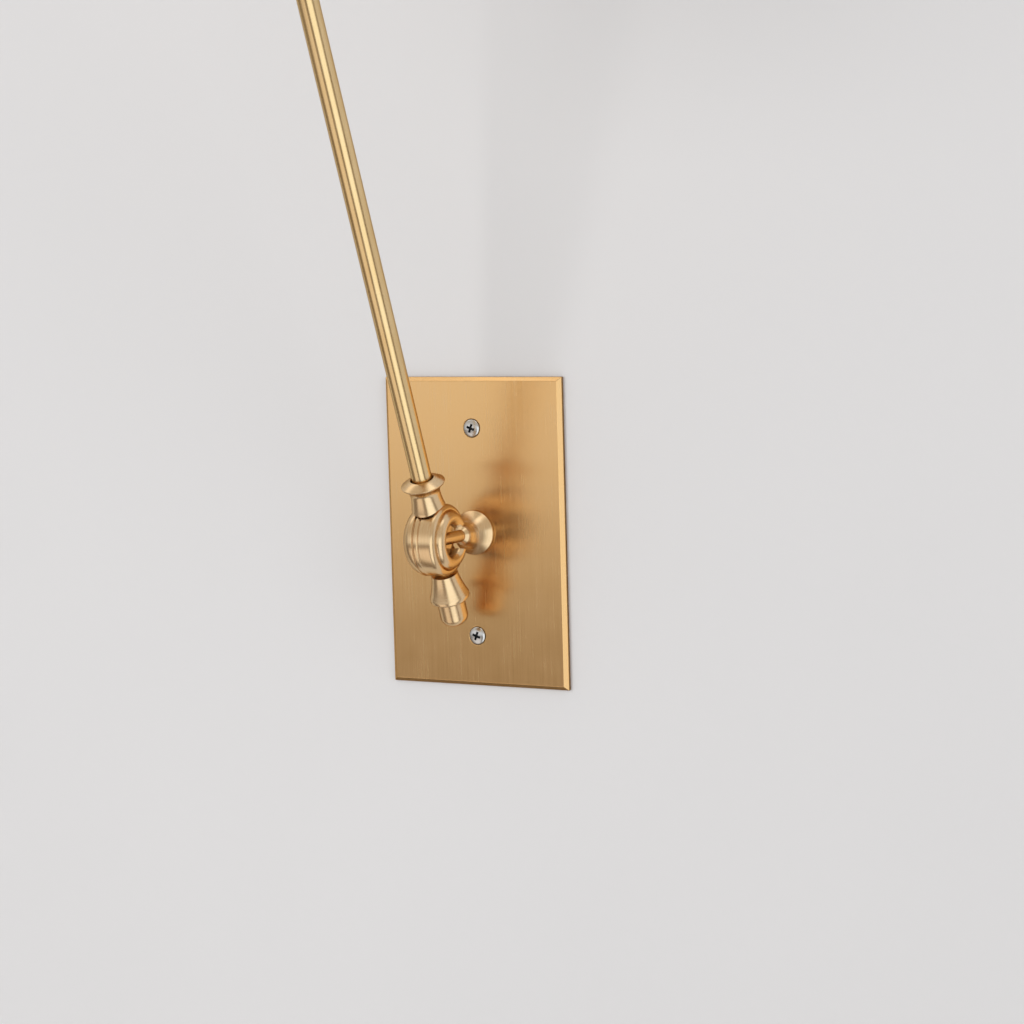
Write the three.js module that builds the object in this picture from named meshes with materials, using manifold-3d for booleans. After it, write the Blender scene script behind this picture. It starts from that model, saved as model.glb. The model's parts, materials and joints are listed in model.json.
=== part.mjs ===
// Swing arm wall sconce in satin brass: wall plate, swivelling stub, two knuckles, tube arm, lamp head.
// Millimetres, +Z up, room side -Y, origin on the wall at the centre of the plate's back face.

import * as THREE from 'three';
import { mergeVertices } from 'three/addons/utils/BufferGeometryUtils.js';
import Module from 'manifold-3d';

const wasm = await Module();
wasm.setup();

// Clearances
const gap = 0.3;
const cutOverrun = 2;

// Hole for the wire in every turned piece that it runs through
const wireHoleRadius = 1.4;

// Wall plate
const plateWidth = 79.4;
const plateHeight = 124;
const plateThickness = 3;
const plateChamfer = 1.6;
const screwSpacing = 83.34;

// Plate screws, oval head with a cross recess
const screwRadius = 1.75;
const screwHeadRadius = 3.55;
const screwHeadDome = 1.1;
const screwSinkDepth = 1.7;
const screwLength = 25;
const screwPointLength = 1.2;
const recessArm = 1.9;
const recessWidth = 0.9;
const recessDepth = 1.3;

// Ground screw in a blind hole in the plate's back
const groundScrewRadius = 2.1;
const groundHeadRadius = 4.4;
const groundHeadHeight = 2.3;
const groundHoleDepth = 2;
const groundSlotWidth = 1.1;
const groundSlotDepth = 1;
const groundScrewDrop = 21;

// Hollow stub that swivels in the wall fitting
const stubRadius = 2.4;
const stubShoulderRadius = 3.7;
const stubShoulderLength = 1.4;
const stubOffset = 2.5;

// Trumpet-shaped bell, on the plate and again at the lamp head
const bellLength = 10;
const bellBaseRadius = 8.25;
const bellNeckRadius = 3.9;
const bellRimHeight = 0.9;
const bellFlarePower = 2;

// Threaded nipple, washers and nuts
const nippleRadius = 4.85;
const nippleInBell = 5.5;
const nippleBehindPlate = 8;
const nutAcrossFlats = 14;
const nutThickness = 3;
const nutChamfer = 0.7;
const washerOuterRadius = 7.6;
const washerThickness = 0.8;
const washerToothDepth = 1.1;
const washerTeeth = 10;
const tailWasherRadius = 4.6;
const tailWasherThickness = 0.8;
const tailNutAcrossFlats = 8;
const tailNutThickness = 2.6;
const tailOverrun = 1.2;

// Knuckle: drum round a flat eye, closed by a domed cap, open on the other side
const pivotFromPlate = 26.7;
const drumRadius = 14.2;
const drumCavityRadius = 9;
const drumLeft = 2.9;
const drumBelt = 9;
const drumEdgeRound = 0.5;
const drumGrooveAt = -0.7;
const drumGrooveWidth = 0.9;
const drumGrooveDepth = 0.6;
const drumRimWidth = 2;
const mouthRingRadius = 11.4;
const mouthRingRise = 2.6;
const drumMouthRadius = 6;
const drumFloorWall = 0.85;
const eyeThickness = 4;
const eyeEdge = 0.5;
const eyeRibPastCentre = 3.2;
const capRimWidth = 0.8;
const capRimStep = 0.5;
const capDomeRise = 7.5;
const capSpigotLength = 0.8;
const pivotPinRadius = 2;
const pinInCap = 2.8;
const pinInEye = 2.7;
const springSeatRadius = 6.2;
const springSeatDepth = 0.9;
const springWall = 0.45;
const springOuterRadius = 5.9;
const springInnerRadius = 2.9;
const brakePadLength = 1.7;
const brakeRadius = 2.1;

// Flared collar that carries the tube
const collarSpigotRadius = 2.1;
const collarSpigotReach = 3.2;
const collarRootRadius = 4.2;
const collarFootRadius = 6.1;
const collarFootLift = 0.8;
const collarNeckRadius = 5.4;
const collarNeckAt = 17.6;
const collarFootPower = 2;
const collarFlarePower = 3;
const collarLipRadius = 8.5;
const collarLipAt = 23.9;
const collarLipRound = 0.6;
const collarDomeRise = 3;
const collarMouthRadius = 4.9;
const collarMouthDepth = 0.9;
const collarFloor = 16.5;

// Thumb screw under the drum, on the line of the tube
const thumbLift = 0.8;
const thumbNeckRadius = 5.4;
const thumbLipRadius = 7.9;
const thumbFlareLength = 9.7;
const thumbFlarePower = 1.6;
const thumbLipHeight = 1.7;
const thumbLipRound = 0.6;
const thumbKnobRadius = 5.5;
const thumbKnobLength = 11;
const thumbKnobRound = 3.5;

// Tube arm with its wire
const armLength = 420;
const tubeRadius = 4;
const tubeBoreRadius = 2.9;
const armLean = THREE.MathUtils.degToRad(21.86);

// Travel of the two knuckles from rest, and the lamp head's angle from the tube at rest
const armTiltIn = THREE.MathUtils.degToRad(21);
const armTiltOut = THREE.MathUtils.degToRad(11);
const headAngle = THREE.MathUtils.degToRad(72);
const headTiltIn = THREE.MathUtils.degToRad(20);
const headTiltOut = THREE.MathUtils.degToRad(35);

// Socket cup and lampholder
const cupRadius = 19.3;
const cupWall = 1;
const cupLength = 35;
const cupShoulder = 8;
const headNippleInCup = 6;
const holderStandoff = 1.3;
const holderFloor = 9;
const holderFoot = 13.5;
const holderShankRadius = 6.5;
const shellWall = 0.5;
const shellLength = 24;
const contactRadius = 4;
const contactHeight = 1.4;
const contactTongue = 2.6;

// Spun shade and its ring
const shadeMouthRadius = 70;
const shadeNeckRadius = 27;
const shadeLength = 104;
const shadeWall = 0.9;
const shadeShoulder = 7;
const shadeRimRadius = 1.7;
const ringHeight = 6;
const ringThickness = 3;
const ringGrips = 18;
const ringGripDepth = 0.6;

// Lamp bulb
const bulbRadius = 24;
const bulbBaseRadius = 13;
const bulbBaseLength = 21;
const bulbBaseWall = 0.6;
const bulbThreadPitch = 3.6;
const bulbThreadDepth = 0.7;
const bulbNeckRadius = 12;
const bulbNeckLength = 12;
const bulbWall = 1;
const bulbInsulatorHeight = 2.6;
const bulbTipRadius = 4.5;
const bulbTipHeight = 1.6;

// Facet counts
const gripSides = 6;
const smallSides = 12;
const mediumSides = 16;
const drumSides = 28;
const shadeSides = 28;
const curveSteps = 4;

// Finishes seen in the photograph
function finish(color, roughness, metalness) {
  return new THREE.MeshStandardMaterial({ color, roughness, metalness });
}

const satinBrass = () => finish(0xc89b64, 0.34, 1);
const rawBrass = () => finish(0xb98f55, 0.45, 1);
const steel = () => finish(0xb9b9b6, 0.32, 1);
const greenSteel = () => finish(0x2f6b45, 0.5, 0.6);
const porcelain = () => finish(0xf0ece2, 0.35, 0);
const aluminium = () => finish(0xc4c6c8, 0.35, 1);
const frostedGlass = () => finish(0xf4f1ea, 0.4, 0);
const blackGlass = () => finish(0x1c1a1d, 0.25, 0);
const wireSheath = () => finish(0xd8cdb4, 0.55, 0);
const brakeFibre = () => finish(0x6b4a2e, 0.85, 0);

// Solids: closed meshes in and out of the boolean kernel
function solidOf(geometry) {
  const bare = geometry.clone();
  bare.deleteAttribute('normal');
  bare.deleteAttribute('uv');
  const merged = mergeVertices(bare);
  const corners = merged.index.array;
  const kept = [];
  for (let i = 0; i < corners.length; i += 3) {
    const [a, b, c] = corners.slice(i, i + 3);
    if (a !== b && b !== c && c !== a) {
      kept.push(a, b, c);
    }
  }
  const vertProperties = new Float32Array(merged.attributes.position.array);
  return new wasm.Manifold(new wasm.Mesh({ numProp: 3, vertProperties, triVerts: new Uint32Array(kept) }));
}

function geometryOf(solid) {
  const mesh = solid.getMesh();
  const geometry = new THREE.BufferGeometry();
  geometry.setAttribute('position', new THREE.BufferAttribute(new Float32Array(mesh.vertProperties), 3));
  geometry.setIndex(new THREE.BufferAttribute(new Uint32Array(mesh.triVerts), 1));
  geometry.computeVertexNormals();
  return geometry;
}

function cut(base, ...tools) {
  return geometryOf(tools.reduce((left, tool) => left.subtract(solidOf(tool)), solidOf(base)));
}

function join(first, ...others) {
  return geometryOf(others.reduce((left, other) => left.add(solidOf(other)), solidOf(first)));
}

// Turned forms: a profile of [radius, height] pairs spun about Y, listed from the foot round the outside
function turned(profile, sides = mediumSides) {
  return new THREE.LatheGeometry(profile.map(([r, y]) => new THREE.Vector2(r, y)), sides);
}

function ring(innerRadius, outerRadius, from, to, sides = mediumSides) {
  return turned(
    [
      [innerRadius, from],
      [outerRadius, from],
      [outerRadius, to],
      [innerRadius, to],
      [innerRadius, from],
    ],
    sides,
  );
}

function rod(radius, from, to, sides = mediumSides) {
  return new THREE.CylinderGeometry(radius, radius, to - from, sides).translate(0, (from + to) / 2, 0);
}

const alongX = (geometry) => geometry.rotateZ(-Math.PI / 2);
const alongZ = (geometry) => geometry.rotateX(Math.PI / 2);

// A flare runs straight at its narrow end and spreads towards its wide end
function flare([narrowRadius, narrowAt], [wideRadius, wideAt], power, steps = curveSteps) {
  const points = [];
  for (let i = 0; i <= steps; i += 1) {
    const share = i / steps;
    points.push([
      narrowRadius + (wideRadius - narrowRadius) * share ** power,
      narrowAt + (wideAt - narrowAt) * share,
    ]);
  }
  return points;
}

// Part of an ellipse, from one share of a full turn to another
function arc([centreRadius, centreAt], reach, rise, fromTurnShare, toTurnShare, steps = curveSteps) {
  const points = [];
  for (let i = 0; i <= steps; i += 1) {
    const angle = 2 * Math.PI * (fromTurnShare + ((toTurnShare - fromTurnShare) * i) / steps);
    points.push([centreRadius + reach * Math.cos(angle), centreAt + rise * Math.sin(angle)]);
  }
  return points;
}

// The same line moved sideways by a wall's thickness
function offsetLine(points, wall) {
  return points.map(([r, y], i) => {
    const [beforeR, beforeY] = points[Math.max(i - 1, 0)];
    const [afterR, afterY] = points[Math.min(i + 1, points.length - 1)];
    const length = Math.hypot(afterR - beforeR, afterY - beforeY);
    return [r - (wall * (afterY - beforeY)) / length, y + (wall * (afterR - beforeR)) / length];
  });
}

function shellProfile(outerLine, wall) {
  const innerLine = offsetLine(outerLine, wall).reverse();
  return [...outerLine, ...innerLine, outerLine[0]];
}

function hexagon(acrossFlats) {
  const shape = new THREE.Shape();
  const radius = acrossFlats / Math.sqrt(3);
  for (let i = 0; i < 6; i += 1) {
    const angle = (i * Math.PI) / 3;
    const [x, y] = [radius * Math.cos(angle), radius * Math.sin(angle)];
    if (i === 0) {
      shape.moveTo(x, y);
    } else {
      shape.lineTo(x, y);
    }
  }
  shape.closePath();
  return shape;
}

// A hex nut along Y from its seat, both ends chamfered, with a plain bore
function hexNut(acrossFlats, boreRadius, thickness, chamfer, seat) {
  const prism = new THREE.ExtrudeGeometry(hexagon(acrossFlats), { depth: thickness, bevelEnabled: false });
  prism.rotateX(-Math.PI / 2).translate(0, seat, 0);
  const cornerRadius = acrossFlats / Math.sqrt(3);
  const turnedBlank = turned(
    [
      [0, seat],
      [cornerRadius - chamfer, seat],
      [cornerRadius, seat + chamfer / 2],
      [cornerRadius, seat + thickness - chamfer / 2],
      [cornerRadius - chamfer, seat + thickness],
      [0, seat + thickness],
    ],
    mediumSides,
  );
  const blank = solidOf(prism).intersect(solidOf(turnedBlank));
  const bore = rod(boreRadius, seat - cutOverrun, seat + thickness + cutOverrun, smallSides);
  return geometryOf(blank.subtract(solidOf(bore)));
}

// Places along the wall fitting's axis; the plate lies between 0 and its thickness on the room side
const plateFront = -plateThickness;
const pivotY = plateFront - pivotFromPlate;
const nippleFront = plateFront - gap - nippleInBell;
const nippleBore = stubRadius + gap;
const plateHoleRadius = nippleRadius + gap;
const nippleBack = nippleBehindPlate;
const tailWasherSeat = nippleBack + gap;
const tailNutSeat = tailWasherSeat + tailWasherThickness + gap;
const stubTail = tailNutSeat + tailNutThickness + tailOverrun;

// Places across a knuckle, measured along its pivot from the plane of the tube
const drumFace = -drumLeft;
const beltEnd = drumFace + drumBelt;
const cavityFloor = beltEnd - drumFloorWall;
const eyeRight = stubOffset;
const eyeLeft = eyeRight - eyeThickness;
const eyeRadius = drumCavityRadius - gap;
const capFace = drumFace - gap;
const collarTop = collarLipAt + collarDomeRise;

function bigNut(seat) {
  return hexNut(nutAcrossFlats, plateHoleRadius, nutThickness, nutChamfer, seat);
}

// Wall plate with its chamfered front and its holes
function wallPlate() {
  const halfWidth = plateWidth / 2 - plateChamfer;
  const halfHeight = plateHeight / 2 - plateChamfer;
  const outline = new THREE.Shape();
  outline.moveTo(-halfWidth, -halfHeight);
  outline.lineTo(halfWidth, -halfHeight);
  outline.lineTo(halfWidth, halfHeight);
  outline.lineTo(-halfWidth, halfHeight);
  outline.closePath();
  const blank = new THREE.ExtrudeGeometry(outline, {
    depth: plateThickness,
    bevelThickness: plateChamfer,
    bevelSize: plateChamfer,
    bevelSegments: 1,
  });
  blank.rotateX(Math.PI / 2).translate(0, plateChamfer, 0);
  const wall = new THREE.BoxGeometry(plateWidth + cutOverrun, plateThickness * 2, plateHeight + cutOverrun);
  wall.translate(0, plateThickness, 0);
  const holes = [-1, 1].map((side) => plateScrewHole().translate(0, 0, (side * screwSpacing) / 2));
  const centreHole = rod(plateHoleRadius, plateFront - cutOverrun, cutOverrun);
  const groundHole = rod(groundScrewRadius + gap, -groundHoleDepth, cutOverrun, smallSides);
  groundHole.translate(0, 0, -groundScrewDrop);
  return cut(blank, wall, centreHole, groundHole, ...holes);
}

function plateScrewHole() {
  const wide = screwHeadRadius + gap;
  const narrow = screwRadius + gap;
  return turned(
    [
      [0, plateFront - cutOverrun],
      [wide, plateFront - cutOverrun],
      [wide, plateFront],
      [narrow, plateFront + screwSinkDepth],
      [narrow, cutOverrun],
      [0, cutOverrun],
    ],
    smallSides,
  );
}

// Oval-head screw whose countersunk head seats in the plate
function plateScrew() {
  const dome = arc([0, plateFront], screwHeadRadius, screwHeadDome, 0.75, 1);
  const blank = turned(
    [
      ...dome,
      [screwRadius, plateFront + screwSinkDepth],
      [screwRadius, plateFront + screwLength - screwPointLength],
      [screwRadius - screwPointLength / 2, plateFront + screwLength],
      [0, plateFront + screwLength],
    ],
    smallSides,
  );
  const slots = [0, 1].map((turn) => {
    const slot = new THREE.BoxGeometry(2 * recessArm, 2 * recessDepth, recessWidth);
    return slot.rotateY((turn * Math.PI) / 2).translate(0, plateFront - screwHeadDome, 0);
  });
  return cut(blank, ...slots);
}

function groundScrew() {
  const blank = turned(
    [
      [0, -groundHoleDepth + gap],
      [groundScrewRadius, -groundHoleDepth + gap],
      [groundScrewRadius, gap],
      [groundHeadRadius, gap],
      [groundHeadRadius, gap + groundHeadHeight / 2],
      ...arc([0, gap + groundHeadHeight / 2], groundHeadRadius, groundHeadHeight / 2, 0, 0.25).slice(1),
    ],
    smallSides,
  );
  const slot = new THREE.BoxGeometry(2 * groundHeadRadius + cutOverrun, 2 * groundSlotDepth, groundSlotWidth);
  slot.translate(0, gap + groundHeadHeight, 0);
  return cut(blank, slot);
}

// Bell along Y with its wide base at zero and its neck towards negative Y, bored for nipple and stub
function bell() {
  const body = flare([bellNeckRadius, -bellLength], [bellBaseRadius, -bellRimHeight], bellFlarePower);
  return turned([
    [nippleBore, -bellLength],
    ...body,
    [bellBaseRadius, 0],
    [nippleRadius + gap, 0],
    [nippleRadius + gap, -nippleInBell - gap],
    [nippleBore, -nippleInBell - gap],
    [nippleBore, -bellLength],
  ]);
}

// Toothed lock washer under the big nut
function toothedWasher() {
  const outline = new THREE.Shape();
  const stops = washerTeeth * 4;
  for (let i = 0; i < stops; i += 1) {
    const angle = (2 * Math.PI * i) / stops;
    const radius = i % 4 < 2 ? washerOuterRadius : washerOuterRadius - washerToothDepth;
    const [x, y] = [radius * Math.cos(angle), radius * Math.sin(angle)];
    if (i === 0) {
      outline.moveTo(x, y);
    } else {
      outline.lineTo(x, y);
    }
  }
  outline.closePath();
  const hole = new THREE.Path();
  hole.absarc(0, 0, plateHoleRadius, 0, 2 * Math.PI, true);
  outline.holes.push(hole);
  const washer = new THREE.ExtrudeGeometry(outline, {
    depth: washerThickness,
    bevelEnabled: false,
    curveSegments: smallSides,
  });
  return washer.rotateX(-Math.PI / 2).translate(0, gap, 0);
}

// Stub: a flat eye on the pivot and a hollow shank along +Y, half sunk in the eye's open side
function stub(shankEnd) {
  const eye = alongX(
    turned(
      [
        [0, eyeLeft],
        [eyeRadius - eyeEdge, eyeLeft],
        [eyeRadius, eyeLeft + eyeEdge],
        [eyeRadius, eyeRight - eyeEdge],
        [eyeRadius - eyeEdge, eyeRight],
        [0, eyeRight],
      ],
      drumSides,
    ),
  );
  const shoulderAt = pivotFromPlate - gap - bellLength - gap;
  const shank = turned(
    [
      [0, -eyeRibPastCentre],
      [stubRadius, -eyeRibPastCentre],
      [stubRadius, shoulderAt - stubShoulderLength],
      [stubShoulderRadius, shoulderAt - stubShoulderLength],
      [stubShoulderRadius, shoulderAt],
      [stubRadius, shoulderAt],
      [stubRadius, shankEnd],
      [0, shankEnd],
    ],
    mediumSides,
  ).translate(stubOffset, 0, 0);
  const bore = rod(wireHoleRadius, -eyeRibPastCentre - cutOverrun, shankEnd + cutOverrun, smallSides);
  bore.translate(stubOffset, 0, 0);
  const pinHoleEnd = eyeLeft + pinInEye + gap;
  const pinHole = alongX(rod(pivotPinRadius + gap, eyeLeft - cutOverrun, pinHoleEnd, smallSides));
  return cut(join(eye, shank), bore, pinHole);
}

// Drum of a knuckle, axis along X: collar's hole at +Z, thumb screw's at -Z, stub's slot towards +Y
function drum(slotFrom, slotTo) {
  const ringMiddle = (mouthRingRadius + drumMouthRadius) / 2;
  const ringReach = (mouthRingRadius - drumMouthRadius) / 2;
  const blank = alongX(
    turned(
      [
        [drumCavityRadius, drumFace],
        [drumRadius - drumEdgeRound, drumFace],
        [drumRadius, drumFace + drumEdgeRound],
        [drumRadius, drumGrooveAt - drumGrooveWidth / 2],
        [drumRadius - drumGrooveDepth, drumGrooveAt],
        [drumRadius, drumGrooveAt + drumGrooveWidth / 2],
        [drumRadius, beltEnd - drumEdgeRound],
        [drumRadius - drumEdgeRound, beltEnd],
        [drumRadius - drumRimWidth, beltEnd],
        [mouthRingRadius, beltEnd - drumGrooveDepth],
        ...arc([ringMiddle, beltEnd], ringReach, mouthRingRise, 0, 0.5),
        [drumMouthRadius, cavityFloor],
        [drumCavityRadius, cavityFloor],
        [drumCavityRadius, drumFace],
      ],
      drumSides,
    ),
  );
  const collarHole = alongZ(rod(collarSpigotRadius + gap, 0, drumRadius + cutOverrun, smallSides));
  const brakeHole = alongZ(rod(brakeRadius + gap, -drumRadius - cutOverrun, 0, smallSides));
  return cut(blank, collarHole, brakeHole, ...stubSlot(slotFrom, slotTo));
}

// Slot for the stub through the drum's wall, open towards the mouth; angles run from +Z towards +Y
function stubSlot(slotFrom, slotTo) {
  const halfWidth = stubRadius + gap;
  const reach = drumRadius + cutOverrun;
  const openWidth = beltEnd + mouthRingRise + cutOverrun - stubOffset;
  const sector = new THREE.Shape();
  sector.moveTo(0, 0);
  sector.lineTo(reach * Math.sin(slotTo), reach * Math.cos(slotTo));
  sector.absarc(0, 0, reach, Math.PI / 2 - slotTo, Math.PI / 2 - slotFrom, false);
  sector.closePath();
  const middle = new THREE.ExtrudeGeometry(sector, {
    depth: halfWidth + openWidth,
    bevelEnabled: false,
    curveSegments: 2 * curveSteps,
  });
  middle.rotateY(Math.PI / 2).rotateX(Math.PI / 2).translate(stubOffset - halfWidth, 0, 0);
  const ends = [slotFrom, slotTo].flatMap((angle) => {
    const round = rod(halfWidth, 0, reach, smallSides);
    const open = new THREE.BoxGeometry(openWidth, reach, 2 * halfWidth);
    open.translate(openWidth / 2, reach / 2, 0);
    return [round, open].map((tool) => tool.rotateX(Math.PI / 2 - angle).translate(stubOffset, 0, 0));
  });
  return [middle, ...ends];
}

// Domed cap with a spigot in the drum, a blind hole for the pin and a seat for the spring
function cap() {
  const rimAt = capFace - capRimWidth;
  const dome = arc([0, rimAt], drumRadius - capRimStep, capDomeRise, 0.75, 1);
  const spigotAt = capFace + capSpigotLength + gap;
  const seatAt = spigotAt - springSeatDepth;
  return alongX(
    turned(
      [
        ...dome,
        [drumRadius, rimAt],
        [drumRadius, capFace],
        [drumCavityRadius - gap, capFace],
        [drumCavityRadius - gap, spigotAt],
        [springSeatRadius, spigotAt],
        [springSeatRadius, seatAt],
        [pivotPinRadius + gap, seatAt],
        [pivotPinRadius + gap, seatAt - pinInCap - gap],
        [0, seatAt - pinInCap - gap],
      ],
      drumSides,
    ),
  );
}

const springFloor = capFace + capSpigotLength + gap - springSeatDepth;

function pivotPin() {
  return alongX(rod(pivotPinRadius, springFloor - pinInCap, eyeLeft + pinInEye, smallSides));
}

// Dished spring washer that keeps the eye against the drum
function springWasher() {
  const highSide = eyeLeft - gap;
  const lowSide = springFloor + gap;
  return alongX(
    turned(
      [
        [springInnerRadius, highSide - springWall],
        [springOuterRadius, lowSide],
        [springOuterRadius, lowSide + springWall],
        [springInnerRadius, highSide],
        [springInnerRadius, highSide - springWall],
      ],
      mediumSides,
    ),
  );
}

// Fibre pad that the thumb screw presses on the eye, hollowed to the eye's round
function brakePad() {
  const pad = alongZ(rod(brakeRadius, -eyeRadius - gap - brakePadLength, -eyeRadius + gap, smallSides));
  const round = alongX(rod(eyeRadius + gap, -brakeRadius - cutOverrun, brakeRadius + cutOverrun, drumSides));
  return cut(pad, round);
}

// Collar: waisted cup for the tube, lifted off the drum by a narrower root, hollow spigot in the drum's wall
function collar() {
  const reach = 2 * collarLipRadius;
  const saddle = (lift) => alongX(rod(drumRadius + lift, -reach, reach, drumSides));
  const neck = [collarNeckRadius, collarNeckAt];
  const lipFoot = [collarLipRadius - collarLipRound / 2, collarLipAt - collarLipRound];
  const domeReach = collarLipRadius - collarMouthRadius;
  const cup = alongZ(
    turned([
      [0, drumCavityRadius],
      [collarFootRadius, drumCavityRadius],
      ...flare(neck, [collarFootRadius, drumRadius], collarFootPower, 2).reverse(),
      ...flare(neck, lipFoot, collarFlarePower).slice(1),
      ...arc([collarMouthRadius, collarLipAt], domeReach, collarDomeRise, 0, 0.25),
      [0, collarTop],
    ]),
  );
  const lifted = cut(cup, saddle(collarFootLift));
  const root = cut(alongZ(rod(collarRootRadius, drumCavityRadius, collarFloor)), saddle(gap));
  const spigot = alongZ(rod(collarSpigotRadius, drumRadius - collarSpigotReach, collarFloor, smallSides));
  const tubeSeat = tubeRadius + gap;
  const bores = alongZ(
    turned([
      [0, 0],
      [wireHoleRadius, 0],
      [wireHoleRadius, collarFloor],
      [tubeSeat, collarFloor],
      [tubeSeat, collarTop - collarMouthDepth],
      [collarMouthRadius, collarTop + gap],
      [0, collarTop + gap],
    ]),
  );
  return cut(join(lifted, root, spigot), bores);
}

// Thumb screw: threaded tip, flared grip with a lip, domed knob at its end
function thumbScrew() {
  const tipAt = -(eyeRadius + gap + brakePadLength + gap);
  const shoulderAt = -(drumRadius + thumbLift);
  const lipAt = shoulderAt - thumbFlareLength;
  const knobFoot = lipAt - thumbLipHeight;
  const knobEnd = knobFoot - thumbKnobLength;
  const knobRound = arc(
    [thumbKnobRadius - thumbKnobRound, knobEnd + thumbKnobRound],
    thumbKnobRound,
    thumbKnobRound,
    0.75,
    1,
  );
  const grip = flare([thumbNeckRadius, shoulderAt], [thumbLipRadius, lipAt], thumbFlarePower).reverse();
  return alongZ(
    turned([
      [0, knobEnd],
      ...knobRound,
      [thumbKnobRadius, knobFoot],
      [thumbLipRadius - thumbLipRound, knobFoot],
      [thumbLipRadius, knobFoot + thumbLipRound],
      ...grip,
      [brakeRadius, shoulderAt],
      [brakeRadius, tipAt],
      [0, tipAt],
    ]),
  );
}

// Tube between the two collars, and the wire inside it
const tubeStart = collarFloor + gap;

function armTube() {
  return alongZ(ring(tubeBoreRadius, tubeRadius, tubeStart, armLength - tubeStart));
}

function wire(from, to) {
  return rod(wireHoleRadius - gap, from, to, smallSides);
}

// Lamp head: places along its axis from the upper pivot
const headBellBase = pivotFromPlate - gap;
const cupTop = headBellBase + gap;
const headNippleFoot = headBellBase - nippleInBell;
const headNippleEnd = cupTop + cupWall + headNippleInCup;
const headStubEnd = headNippleEnd - gap;
const cupEnd = cupTop + cupLength;
const holderRadius = cupRadius - cupWall - gap;
const holderEnd = cupEnd + ringHeight + 2 * gap + shadeWall;
const holderTop = headNippleEnd + holderStandoff;
const holderFloorAt = holderTop + holderFloor;
const shellOuter = bulbBaseRadius + gap + shellWall;
const shellEnd = holderFloorAt + gap + shellLength;
const contactTop = holderFloorAt + gap + contactHeight;
const bulbTipAt = contactTop + gap;
const bulbBaseAt = bulbTipAt + bulbTipHeight + bulbInsulatorHeight;
const bulbBaseEnd = bulbBaseAt + bulbBaseLength;
const shadeTop = cupEnd + gap;

function socketCup() {
  const outer = [
    [plateHoleRadius, cupTop],
    [cupRadius - cupShoulder, cupTop],
    ...arc([cupRadius - cupShoulder, cupTop + cupShoulder], cupShoulder, cupShoulder, 0.75, 1).slice(1),
    [cupRadius, cupEnd],
  ];
  return turned(shellProfile(outer, cupWall), shadeSides);
}

// Porcelain lampholder: hollow foot over the nipple's nut, floor with the contact's hole, threaded skirt
function lampholder() {
  return turned(
    [
      [contactTongue, holderTop],
      [holderFoot, holderTop],
      [holderRadius, holderTop + holderFloor / 2],
      [holderRadius, holderEnd],
      [shellOuter + gap, holderEnd],
      [shellOuter + gap, holderFloorAt],
      [contactTongue, holderFloorAt],
      [contactTongue, holderTop],
    ],
    shadeSides,
  );
}

// Screw shell of the lampholder with its turned-in foot
function screwShell() {
  const inner = bulbBaseRadius + gap;
  const foot = holderFloorAt + gap;
  return turned([
    [holderShankRadius, foot],
    [shellOuter, foot],
    [shellOuter, shellEnd],
    [inner, shellEnd],
    [inner, foot + shellWall],
    [holderShankRadius, foot + shellWall],
    [holderShankRadius, foot],
  ]);
}

function centreContact() {
  return turned(
    [
      [0, holderTop + gap],
      [contactTongue - gap, holderTop + gap],
      [contactTongue - gap, holderFloorAt + gap],
      [contactRadius, holderFloorAt + gap],
      [contactRadius - contactHeight / 2, contactTop],
      [0, contactTop],
    ],
    smallSides,
  );
}

// Spun shade: flat neck flange, round shoulder, straight cone, rolled rim
function shade() {
  const shoulderCentre = [shadeNeckRadius - shadeShoulder, shadeTop + shadeShoulder];
  const mouthAt = shadeTop + shadeLength - shadeRimRadius;
  const slope = Math.atan2(shadeMouthRadius - shadeNeckRadius, shadeLength - shadeShoulder);
  const endShare = 1 - slope / (2 * Math.PI);
  const shoulder = arc(shoulderCentre, shadeShoulder, shadeShoulder, 0.75, endShare);
  const outer = [[holderRadius + gap, shadeTop], ...shoulder, [shadeMouthRadius, mouthAt]];
  const cone = turned(shellProfile(outer, shadeWall), shadeSides);
  const rimCentre = shadeMouthRadius - shadeWall / 2;
  const rim = turned(
    arc([rimCentre, mouthAt], shadeRimRadius, shadeRimRadius, 0, 1, curveSteps + 2),
    shadeSides,
  );
  return join(cone, rim);
}

// Shade ring with finger grips round its outside
function shadeRing() {
  const inner = holderRadius + gap;
  const from = shadeTop + shadeWall + gap;
  const outer = inner + ringThickness;
  const blank = ring(inner, outer, from, from + ringHeight, shadeSides);
  const grips = [];
  for (let i = 0; i < ringGrips; i += 1) {
    const angle = (2 * Math.PI * i) / ringGrips;
    const grip = rod(ringGripDepth * 2, from - cutOverrun, from + ringHeight + cutOverrun, gripSides);
    const reach = outer + ringGripDepth;
    grips.push(grip.translate(reach * Math.cos(angle), 0, reach * Math.sin(angle)));
  }
  return cut(blank, ...grips);
}

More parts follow.
